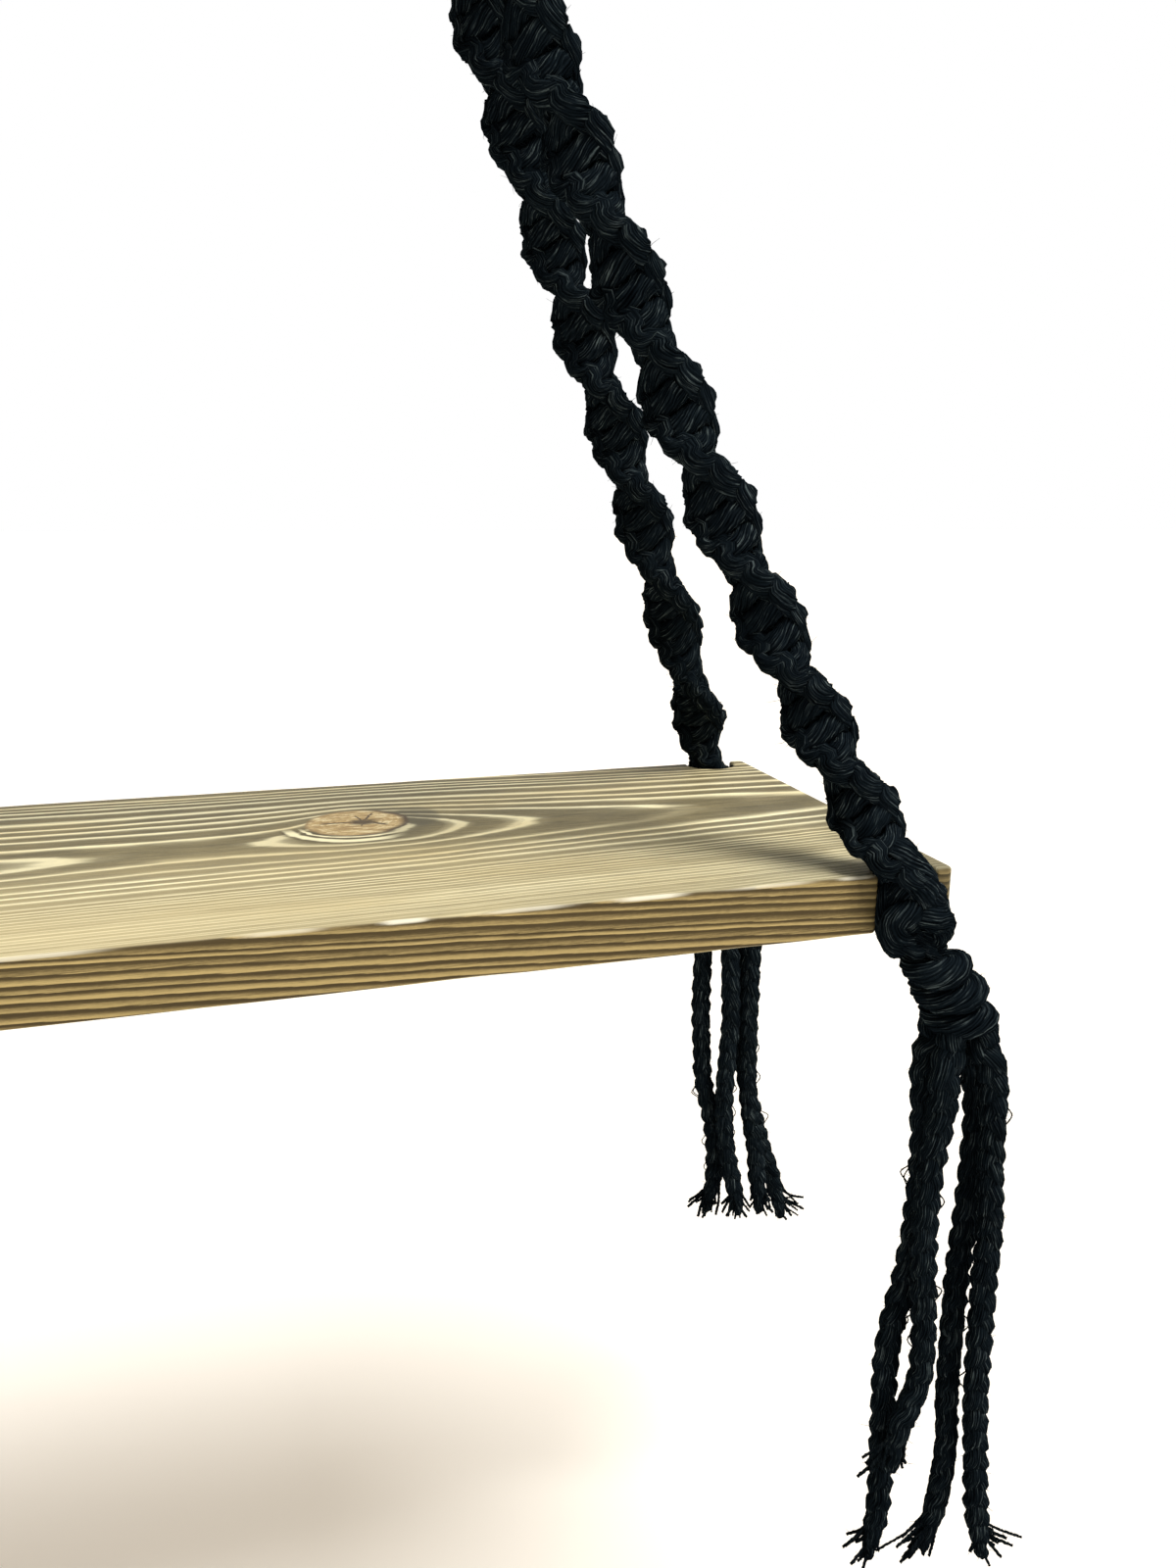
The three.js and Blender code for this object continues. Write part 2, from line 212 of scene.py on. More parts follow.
class Graph:
    """The nodes of one material or world."""

    def __init__(self, tree: bpy.types.NodeTree) -> None:
        """Empties a node tree and starts on it."""
        self.tree = tree
        tree.nodes.clear()

    def node(self, kind: str, settings: dict[str, Any] | None = None,
             sockets: dict[str | int, Any] | None = None, out: str | int = 0) -> Value:
        """Adds a node.

        Args:
            kind: the node's type.
            settings: its own settings, with a ramp's stops under "stops".
            sockets: a number, colour or Value for each input that is set.
            out: the output that is wanted.

        Returns:
            The value at that output.
        """
        made = self.tree.nodes.new(kind)
        for name, value in (settings or {}).items():
            if name == "stops":
                self._set_stops(made.color_ramp, value)
            else:
                setattr(made, name, value)
        for key, value in (sockets or {}).items():
            if isinstance(value, Value):
                self.tree.links.new(value.socket, made.inputs[key])
            else:
                made.inputs[key].default_value = value
        return Value(self, made.outputs[out])

    @staticmethod
    def _set_stops(ramp: bpy.types.ColorRamp, stops: Stops) -> None:
        """Gives a ramp its stops.

        Args:
            ramp: the ramp to be set.
            stops: a place for each, with a grey or a colour.
        """
        while len(ramp.elements) < len(stops):
            ramp.elements.new(1.0)
        for element, (place, colour) in zip(ramp.elements, stops):
            grey = not isinstance(colour, tuple)
            element.position = place
            element.color = (colour, colour, colour, 1.0) if grey else (*colour, 1.0)

    def ramp(self, value: Value, stops: Stops) -> Value:
        """Returns the value's colour on a ramp."""
        return self.node("ShaderNodeValToRGB", {"stops": stops}, {"Fac": value})

    def mix(self, share: Any, first: Any, second: Any) -> Value:
        """Mixes two colours.

        Args:
            share: how much there is of the second.
            first: the first colour.
            second: the second colour.

        Returns:
            The mixed colour.
        """
        colours = [(*c, 1.0) if isinstance(c, tuple) else c for c in (first, second)]
        sockets = {0: share, 6: colours[0], 7: colours[1]}
        return self.node("ShaderNodeMix", {"data_type": "RGBA"}, sockets, 2)

    def noise(self, place: Value, scale: float, detail: float = 2.0, roughness: float = 0.5) -> Value:
        """Returns smooth noise between about nought and one."""
        sockets = {"Vector": place, "Scale": scale, "Detail": detail, "Roughness": roughness}
        return self.node("ShaderNodeTexNoise", None, sockets)

    def streaks(self, parts: Sequence[Value], scales: Sequence[float], detail: float,
                roughness: float = 0.5) -> Value:
        """Returns noise with a scale of its own along each axis."""
        place = self.vector(*(part * scale for part, scale in zip(parts, scales)))
        return self.noise(place, 1.0, detail, roughness)

    def vector(self, x: Any, y: Any, z: Any = 0.0) -> Value:
        """Returns a vector of three values."""
        return self.node("ShaderNodeCombineXYZ", None, {0: x, 1: y, 2: z})

    def parts(self, vector: Value) -> tuple[Value, Value, Value]:
        """Takes a vector apart.

        Args:
            vector: the vector.

        Returns:
            Its three parts.
        """
        first = self.node("ShaderNodeSeparateXYZ", None, {0: vector})
        outputs = first.socket.node.outputs
        return first, Value(self, outputs[1]), Value(self, outputs[2])

    def place(self) -> Value:
        """Reads the place on the piece.

        Returns:
            The place in millimetres.
        """
        spot = self.node("ShaderNodeTexCoord", out="Object")
        sockets = {0: spot, 1: (1 / MM, 1 / MM, 1 / MM)}
        return self.node("ShaderNodeVectorMath", {"operation": "MULTIPLY"}, sockets)

    def bump(self, height: Value, strength: float, distance: float) -> Value:
        """Returns the normal of a surface with a height on it, in metres times distance."""
        sockets = {"Height": height, "Strength": strength, "Distance": distance}
        return self.node("ShaderNodeBump", None, sockets)

    def finish(self, shader: Value, output: str = "ShaderNodeOutputMaterial") -> None:
        """Sends a shader to the output."""
        made = self.tree.nodes.new(output)
        self.tree.links.new(shader.socket, made.inputs["Surface"])


def new_material(name: str) -> tuple[bpy.types.Material, Graph]:
    """Makes a material.

    Args:
        name: its name.

    Returns:
        The material and its empty graph.
    """
    material = bpy.data.materials.new(name)
    material.use_nodes = True
    return material, Graph(material.node_tree)


def new_object(name: str, data: bpy.types.ID) -> bpy.types.Object:
    """Makes an object in the scene.

    Args:
        name: its name.
        data: the mesh, camera or lamp that it shows.

    Returns:
        The new object.
    """
    made = bpy.data.objects.new(name, data)
    bpy.context.scene.collection.objects.link(made)
    return made


@dataclass(frozen=True)
class CottonFinish:
    """Black cotton yarn: no shine in the shader, a little bloom, fine fibres along each yarn, painted
    shade in the hollows and painted highlights as bright flecks.
    """

    name: str = "black_cotton"
    # The darkest tone: painted shade for the hollows between yarns.
    hollow_shade: Triple = (0.0004, 0.0006, 0.0009)
    yarn: Triple = (0.0095, 0.0150, 0.0195)
    # Colour of the bright flecks: a painted highlight on the fibres.
    wear_and_highlight: Triple = (0.120, 0.150, 0.148)
    yarns_round: float = 26.0

    def make(self) -> bpy.types.Material:
        """Makes the material, which reads how far along and round the cord a point is.

        Returns:
            The material.
        """
        material, graph = new_material(self.name)
        place = graph.place()
        chart = graph.node("ShaderNodeUVMap", {"uv_map": "cord"})
        along, around, _ = graph.parts(chart)
        fibre = graph.noise(graph.vector(along * 260.0, around * 70.0), 1.0, 3.0, 0.65)
        thread = graph.noise(graph.vector(along * 110.0, around * 24.0), 1.0, 1.0)
        drift = graph.noise(graph.vector(along * 70.0, around * 5.0), 1.0, 2.0)
        ridge = (around * self.yarns_round + drift * 4.0).math("PINGPONG", 0.5) * 2.0
        patch = graph.noise(place, 0.09, 2.0)
        # Patches where the painted highlights show.
        highlight_spots = graph.noise(place, 0.22, 2.0, 0.6).step(0.36, 0.66)
        # Painted shade: near black in the hollows between yarn ridges and in random dark patches.
        shade = (ridge * 0.32 + fibre * 0.75 + thread * 0.55 + patch * 0.25).step(0.58, 1.28)
        colour = graph.mix(shade, self.hollow_shade, self.yarn)
        # Painted highlights: bright flecks along the fibres, in patches.
        highlight_fleck = (fibre * 0.62 + thread * 0.50 + ridge * 0.12).step(0.66, 0.84)
        colour = graph.mix(highlight_fleck * (highlight_spots * 0.75 + 0.2), colour, self.wear_and_highlight)
        normal = graph.bump(ridge * 0.5 + fibre * 1.2 + thread * 0.5, 0.9, 0.35 * MM)
        shader = graph.node("ShaderNodeBsdfPrincipled", None, {
            "Base Color": colour, "Roughness": 0.9, "Specular IOR Level": 0.0, "Normal": normal,
        })
        graph.finish(shader)
        return material


@dataclass(frozen=True)
class SteelFinish:
    """Plain drawn steel wire with fine scratches."""

    name: str = "ring_steel"
    colour: Triple = (0.46, 0.47, 0.48)
    tarnish: Triple = (0.27, 0.26, 0.25)

    def make(self) -> bpy.types.Material:
        """Makes the material.

        Returns:
            The material.
        """
        material, graph = new_material(self.name)
        place = graph.place()
        patch = graph.noise(place, 0.12, 4.0, 0.6).step(0.42, 0.72)
        x, y, z = graph.parts(place)
        turn = z.math("ARCTAN2", x) * 30.0
        scratch = graph.noise(graph.vector(turn * 0.1, y * 5.0, z * 0.4), 3.0, 3.0, 0.7)
        colour = graph.mix(patch * 0.6, self.colour, self.tarnish)
        shader = graph.node("ShaderNodeBsdfPrincipled", None, {
            "Base Color": colour, "Metallic": 1.0, "Roughness": 0.24 + patch * 0.2 + scratch * 0.12,
            "Normal": graph.bump(scratch, 0.25, 0.1 * MM),
        })
        graph.finish(shader)
        return material


@dataclass(frozen=True)
class Crack:
    """One dark split in the board's knot: its direction, start, end and width, in mm."""

    degrees: float
    start: float
    end: float
    width: float


@dataclass(frozen=True)
class Grain:
    """What the wood's patterns share: places in mm, with the board's top at level nought, places
    from the knot's middle, and noises."""

    parts: tuple[Value, Value, Value]
    x: Value
    y: Value
    level: Value
    knot_x: Value
    knot_y: Value
    slow: Value
    fine: Value
    pores: Value
    grit: Value


@dataclass(frozen=True)
class PineFinish:
    """Grey-brown stained pine: light latewood lines on dark earlywood, flowing round one knot."""

    name: str = "stained_pine"
    top: float = 525.0
    half_depth: float = 80.0
    half_length: float = 200.0
    thickness: float = 19.0
    pith_drop: float = 81.44
    pith_rise_share: float = 0.016
    pith_side: float = 2.44
    pith_side_share: float = 0.031
    far_side_bend: float = 0.004
    knot_x: float = 29.0
    knot_y: float = 22.0
    knot_radius: float = 16.5
    knot_lean: tuple[float, float] = (0.25, 0.22)
    # How far the grain swerves round the knot to its left, right and sides, and how much.
    swerve_reach: Triple = (20.0, 42.0, 25.0)
    swerve: float = 6.0
    # The distance from the pith at which each ring begins.
    ring_stops: tuple[tuple[float, float], ...] = (
        (60.0, -13.0), (80.4, -1.0), (81.7, 0.0), (87.0, 3.0), (91.8, 5.0), (93.35, 6.0),
        (102.5, 13.0), (109.7, 17.6), (120.6, 24.6), (140.0, 37.0),
    )
    earlywood: Triple = (0.200, 0.160, 0.076)
    earlywood_deep: Triple = (0.074, 0.060, 0.030)
    latewood: Triple = (0.98, 0.89, 0.57)
    gold: Triple = (0.60, 0.44, 0.175)
    # Light and dark of the edge grain; the dark end also carries painted relief shade.
    edge_light: Triple = (0.56, 0.41, 0.165)
    edge_dark: Triple = (0.050, 0.033, 0.013)
    knot_core: Triple = (0.46, 0.310, 0.130)
    knot_pale: Triple = (0.66, 0.51, 0.27)
    knot_brown: Triple = (0.22, 0.145, 0.065)
    knot_dark: Triple = (0.060, 0.042, 0.026)
    stain: Triple = (0.105, 0.092, 0.056)
    # A paler tone for the front left of the top, partly painted sheen.
    pale: Triple = (0.70, 0.56, 0.29)
    # Bare wood colour for wear on the arrises, also the painted highlight on the front arris.
    raw_wood_and_highlight: Triple = (0.86, 0.80, 0.62)
    # The growth lines below the knot: how far out, and half the width.
    crescents: tuple[tuple[float, float], ...] = ((22.6, 2.1), (18.6, 0.9))
    cracks: tuple[Crack, ...] = (
        Crack(178.0, 2.0, 16.0, 0.9), Crack(104.0, 1.0, 10.0, 0.5), Crack(70.0, 1.0, 13.0, 0.6),
        Crack(-35.0, 0.0, 11.0, 1.1), Crack(-100.0, 1.0, 7.0, 0.5), Crack(150.0, 0.0, 6.0, 1.4),
    )
    # Spots of painted highlight along the front top arris, in the colour of bare wood: middle, half
    # length and strength.
    highlight_spots: tuple[Triple, ...] = (
        (-150.0, 34.0, 0.5), (-60.0, 26.0, 0.6), (2.0, 14.0, 0.5), (34.0, 9.0, 0.95),
        (66.0, 18.0, 0.6), (103.0, 14.0, 0.9), (140.0, 18.0, 0.5), (168.0, 8.0, 0.7),
    )

    def _ring_number(self, graph: Graph, radius: Value) -> Value:
        """Counts the growth rings inside a radius.

        Args:
            graph: the material's nodes.
            radius: the distance from the pith.

        Returns:
            Their number, in steps of one a ring.
        """
        low, high = self.ring_stops[0], self.ring_stops[-1]
        width, count = high[0] - low[0], high[1] - low[1]
        stops = [((r - low[0]) / width, (n - low[1]) / count) for r, n in self.ring_stops]
        share = graph.ramp((radius - low[0]) / width, stops)
        return share * count + low[1]

    def _cracks(self, x: Value, y: Value, waver: Value) -> Value:
        """Finds where the knot is split.

        Args:
            x: the place along the board, from the knot's heart.
            y: the place across it, from the heart.
            waver: how far a split strays.

        Returns:
            One in a split, else nought.
        """
        total: Value | None = None
        for crack in self.cracks:
            c, s = math.cos(math.radians(crack.degrees)), math.sin(math.radians(crack.degrees))
            out = x * c + y * s
            off = (y * c - x * s + waver).math("ABSOLUTE")
            here = off.step(crack.width, crack.width * 0.3)
            here = here * out.step(crack.start - 0.8, crack.start)
            here = here * out.step(crack.end, crack.end - 3.0)
            total = here if total is None else total.math("MAXIMUM", here)
        return total

    def _grain(self, graph: Graph) -> Grain:
        """Reads what all of the wood's patterns share.

        Args:
            graph: the material's nodes.

        Returns:
            The places and noises.
        """
        x, y, z = parts = graph.parts(graph.place())
        level = z + self.top
        return Grain(
            parts=parts, x=x, y=y, level=level,
            knot_x=x - self.knot_x - level * self.knot_lean[0],
            knot_y=y - self.knot_y - level * self.knot_lean[1],
            slow=graph.streaks(parts, (0.010, 0.030, 0.03), 2.0) - 0.5,
            fine=graph.streaks(parts, (0.055, 0.30, 0.30), 2.0) - 0.5,
            pores=graph.streaks(parts, (0.055, 2.3, 2.3), 3.0, 0.62),
            grit=graph.streaks(parts, (0.5, 3.0, 3.0), 2.0, 0.7),
        )

    def _rings(self, graph: Graph, grain: Grain) -> tuple[Value, Value]:
        """Finds the growth ring that each place is in.

        Args:
            graph: the material's nodes.
            grain: the shared places and noises.

        Returns:
            The ring's number, and where the last arch fades out.
        """
        to_left, to_right, to_side = self.swerve_reach
        left = grain.knot_x.math("MINIMUM", 0.0) / to_left
        right = grain.knot_x.math("MAXIMUM", 0.0) / to_right
        across = grain.knot_y / to_side
        away = (left * left + right * right + across * across).math("SQRT")
        push = (away * -1.0).math("EXPONENT") * self.swerve

        side = grain.y - self.pith_side - grain.x * self.pith_side_share + grain.slow * 2.0
        beyond = side.math("MAXIMUM", 0.0)
        side = side.math("ABSOLUTE") - beyond * beyond * self.far_side_bend
        depth = grain.x * self.pith_rise_share + self.pith_drop + grain.level + grain.slow * 1.2
        radius = (side * side + depth * depth).math("SQRT") - push + grain.fine * 0.35
        uneven = graph.noise(graph.vector(radius * 0.28, 0.5), 1.0, 1.0) - 0.5
        fade = (side + beyond).step(15.0, 8.0) * grain.x.step(92.0, 108.0)
        return self._ring_number(graph, radius) + uneven * 0.9, fade

    @staticmethod
    def _latewood(graph: Graph, grain: Grain, ring: Value, chance: Value, fade: Value) -> Value:
        """Returns how much of each place on the top is latewood.

        Args:
            graph: the material's nodes.
            grain: the shared places and noises.
            ring: the growth ring.
            chance: a number of its own for each ring.
            fade: where the last arch fades out.

        Returns:
            One on a light line, nought between the lines.
        """
        share = (ring + (grain.pores - 0.5) * 0.08).math("FRACT")
        late = graph.ramp(share, (
            (0.0, 1.0), (0.07, 0.95), (0.15, 0.12), (0.26, 0.0), (0.68, 0.03), (0.85, 0.34),
            (0.94, 1.0), (1.0, 1.0)))
        front = grain.y.step(-48.0, -64.0)
        late = late * (1.0 - front * 0.42) + front * 0.20
        late = late * (chance * 0.5 + 0.72) * (1.0 - fade * 0.85)
        dense = grain.y.step(6.0, -26.0)
        return late * (1.0 - dense * (0.4 - chance * chance * 0.6)) + dense * 0.06

    def _top_colour(self, graph: Graph, grain: Grain, broken: Value) -> Value:
        """Colours the top, paler towards its front left, partly the wood's own tone and partly painted
        sheen.

        Args:
            graph: the material's nodes.
            grain: the shared places and noises.
            broken: how much is latewood, broken up by the grit.

        Returns:
            The colour.
        """
        x, y = grain.x, grain.y
        tone = grain.pores * 1.1 + grain.slow * 0.6 + grain.fine * 0.5 + grain.grit * 0.45
        colour = graph.mix(tone.step(0.50, 1.06), self.earlywood_deep, self.earlywood)
        gold_share = (grain.slow + grain.grit * 0.4).step(0.05, 0.5) * 0.6
        colour = graph.mix(broken, colour, graph.mix(gold_share, self.latewood, self.gold))
        streak = graph.streaks(grain.parts, (0.05, 6.0, 6.0), 2.0, 0.6).step(0.35, 0.75)
        colour = graph.mix(streak * (y.step(10.0, -60.0) * 0.22 + 0.12), colour, self.latewood)
        # Painted sheen on the wood's own paler tone: lighter towards the front left, darker towards the
        # right end.
        return graph.mix(y.step(10.0, -70.0) * x.step(190.0, -140.0) * 0.46, colour, self.pale)

    def _edge_colour(self, graph: Graph, grain: Grain, ring: Value, chance: Value) -> Value:
        """Colours the long edges, where each ring ends in a dark line, with painted relief shade: each
        band runs from light to that dark line.

        Args:
            graph: the material's nodes.
            grain: the shared places and noises.
            ring: the growth ring.
            chance: a number of its own for each ring.

        Returns:
            The colour.
        """
        # The grain's bands with painted relief shade: each runs from light across its width to a dark
        # line.
        share = graph.ramp((ring + (grain.pores - 0.5) * 0.30).math("FRACT"), (
            (0.0, 0.85), (0.15, 0.95), (0.45, 0.70), (0.70, 0.28), (0.85, 0.0), (0.95, 0.10),
            (1.0, 0.85)))
        tone = share * (chance * 0.35 + 0.68) + (grain.pores - 0.5) * 0.8 + (grain.grit - 0.5) * 0.3
        tone = tone.step(0.0, 1.0)
        return graph.mix(tone * tone * 0.88 + 0.05, self.edge_dark, self.edge_light)

    def _stain_round_knot(self, graph: Graph, grain: Grain, late: Value, away: Value,
                          colour: Value) -> Value:
        """Returns the colour with the dark wood and the light crescents round the knot.

        Args:
            graph: the material's nodes.
            grain: the shared places and noises.
            late: how much is latewood.
            away: the distance from the knot's middle.
            colour: the colour so far.

        Returns:
            The new colour.
        """
        x, y = grain.knot_x, grain.knot_y
        halo = away.step(30.0, 17.0) * x.step(-14.0, 12.0)
        colour = graph.mix(halo * (1.0 - late) * 0.75, colour, self.stain)
        patch_x, patch_y = (x - 21.0) / 9.0, (y - 4.0) / 13.0
        patch = (patch_x * patch_x + patch_y * patch_y + grain.fine * 1.2).math("SQRT")
        colour = graph.mix(patch.step(1.1, 0.75) * (1.0 - late * 0.5) * 0.8, colour, self.stain)
        under = y.step(-2.0, -9.0) * x.step(16.0, 4.0)
        colour = graph.mix(under * away.step(26.5, 24.0) * 0.8, colour, self.earlywood_deep)
        for middle, half in self.crescents:
            band = (away - middle).math("ABSOLUTE").step(half, half * 0.4)
            colour = graph.mix(under * band * 0.95, colour, self.latewood)
        return colour

    def _knot_colour(self, graph: Graph, grain: Grain, away: Value, split: Value) -> Value:
        """Colours the knot, with its turns, grain, rim and cracks.

        Args:
            graph: the material's nodes.
            grain: the shared places and noises.
            away: the distance from the knot's middle.
            split: where it is split.

        Returns:
            The colour.
        """
        x, y, radius = grain.knot_x, grain.knot_y, self.knot_radius
        turns = (away * 0.42 + grain.grit * 0.7 + grain.pores * 0.9).math("PINGPONG", 0.5) * 2.0
        place = graph.vector(x * 0.13 + turns * 0.5, y * 0.36 + grain.pores, 0.0)
        fibre = graph.noise(place, 1.0, 4.0, 0.7)
        wood = graph.mix(turns * 0.45, self.knot_core, self.knot_pale)
        wood = graph.mix(fibre.step(0.52, 0.38) * 0.7, wood, self.knot_brown)
        wood = graph.mix(fibre.step(0.50, 0.62) * 0.65, wood, self.latewood)
        wood = graph.mix(away.step(radius - 1.6, radius - 0.4) * 0.7, wood, self.knot_brown)
        rim = away.step(radius - 3.5, radius - 0.8) * x.step(0.0, 12.0)
        wood = graph.mix(rim * 0.9, wood, self.knot_dark)
        return graph.mix(split * 0.92, wood, self.knot_dark)

    def _wear_highlights_and_shade(self, graph: Graph, grain: Grain, colour: Value) -> Value:
        """Rubs the top arrises towards the back, paints highlight spots on the front top arris, soaks
        stain into the end grain, and paints shade on the front near each end, by the ropes.

        Args:
            graph: the material's nodes.
            grain: the shared places and noises.
            colour: the colour so far.

        Returns:
            The new colour.
        """
        x, y, level = grain.x, grain.y, grain.level
        from_side = self.half_depth - y.math("ABSOLUTE")
        from_end = self.half_length - x.math("ABSOLUTE")
        from_face = (level * -1.0).math("MINIMUM", level + self.thickness)
        edge = from_side.math("MINIMUM", from_end)
        arris = (edge * edge + from_face * from_face).math("SQRT")
        # Wear along the top arrises towards the back; the spots below add painted highlights to the
        # front arris.
        rub = graph.streaks(grain.parts, (0.035, 0.035, 0.3), 3.0, 0.6)
        rub = (rub + grain.fine * 0.4).step(0.46, 0.64) * y.step(-60.0, 0.0)
        for middle, half, strength in self.highlight_spots:
            spot = (x - middle + grain.grit * 3.0).math("ABSOLUTE").step(half, half * 0.3) * strength
            rub = rub.math("MAXIMUM", spot * y.step(0.0, -60.0))
        wear_and_highlight = (arris - rub * 0.35).step(1.0, 0.35) * rub * level.step(-3.0, -2.0)
        colour = graph.mix(wear_and_highlight * 0.95, colour, self.raw_wood_and_highlight)
        # Painted shade on the front near each end, by the ropes; the last millimetre of end grain takes
        # real stain.
        rope_shade_reach = from_end + grain.fine * 6.0
        on_edge = rope_shade_reach.step(36.0, 12.0) * y.step(-79.0, -79.6) * 0.58
        on_top = rope_shade_reach.step(26.0, 2.0) * y.step(30.0, -50.0) * 0.6
        stain_and_shade = (from_end.step(1.2, 0.2) * 0.35).math("MAXIMUM", on_edge.math("MAXIMUM", on_top))
        return graph.mix(stain_and_shade, colour, self.earlywood_deep)

    def make(self) -> bpy.types.Material:
        """Makes the material, one solid pattern through the whole board.

        Returns:
            The material.
        """
        material, graph = new_material(self.name)
        grain = self._grain(graph)
        ring, fade = self._rings(graph, grain)
        chance = graph.node(
            "ShaderNodeTexWhiteNoise", {"noise_dimensions": "1D"}, {"W": ring.math("FLOOR")})
        late = self._latewood(graph, grain, ring, chance, fade)
        broken = (late * (0.62 + grain.grit * 0.75)).math("MINIMUM", 1.0)
        on_edge = (grain.y.math("ABSOLUTE") * -1.0).step(-79.2, -79.8)
        edge_colour = self._edge_colour(graph, grain, ring, chance)
        colour = graph.mix(on_edge, self._top_colour(graph, grain, broken), edge_colour)

        x, y = grain.knot_x, grain.knot_y
        away = (x * x * 0.86 + y * y).math("SQRT") + grain.fine * 2.4
        from_heart = x - 2.0
        heart = (from_heart * from_heart * 0.6 + y * y).math("SQRT").step(5.0, 2.0)
        split = self._cracks(from_heart, y - 0.5, grain.fine * 1.6)
        split = split.math("MAXIMUM", heart * grain.grit.step(0.25, 0.5))
        knot = away.step(self.knot_radius + 0.5, self.knot_radius - 0.6)
        colour = self._stain_round_knot(graph, grain, late, away, colour)
        colour = graph.mix(knot, colour, self._knot_colour(graph, grain, away, split))
        colour = self._wear_highlights_and_shade(graph, grain, colour)

        height = broken * 0.5 + grain.pores * 0.35 + grain.grit * 0.25 - split * knot * 3.0
        shader = graph.node("ShaderNodeBsdfPrincipled", None, {
            "Base Color": colour, "Roughness": 0.56 + grain.pores * 0.16 - broken * 0.08,
            "Specular IOR Level": 0.14, "Normal": graph.bump(height, 0.55, 0.28 * MM),
        })
        graph.finish(shader)
        return material


class Slot(Enum):
    """The material slots."""

    PINE = "pine"
    COTTON = "cotton_cord"
    STEEL = "steel"


@dataclass(frozen=True)
class Yarns:
    """How the yarns of a cord lie: how many show round it, how deep between, how far a turn."""

    count: int = 7
    groove: float = 0.20
    lay: float = 34 * MM
    uneven: float = 0.05


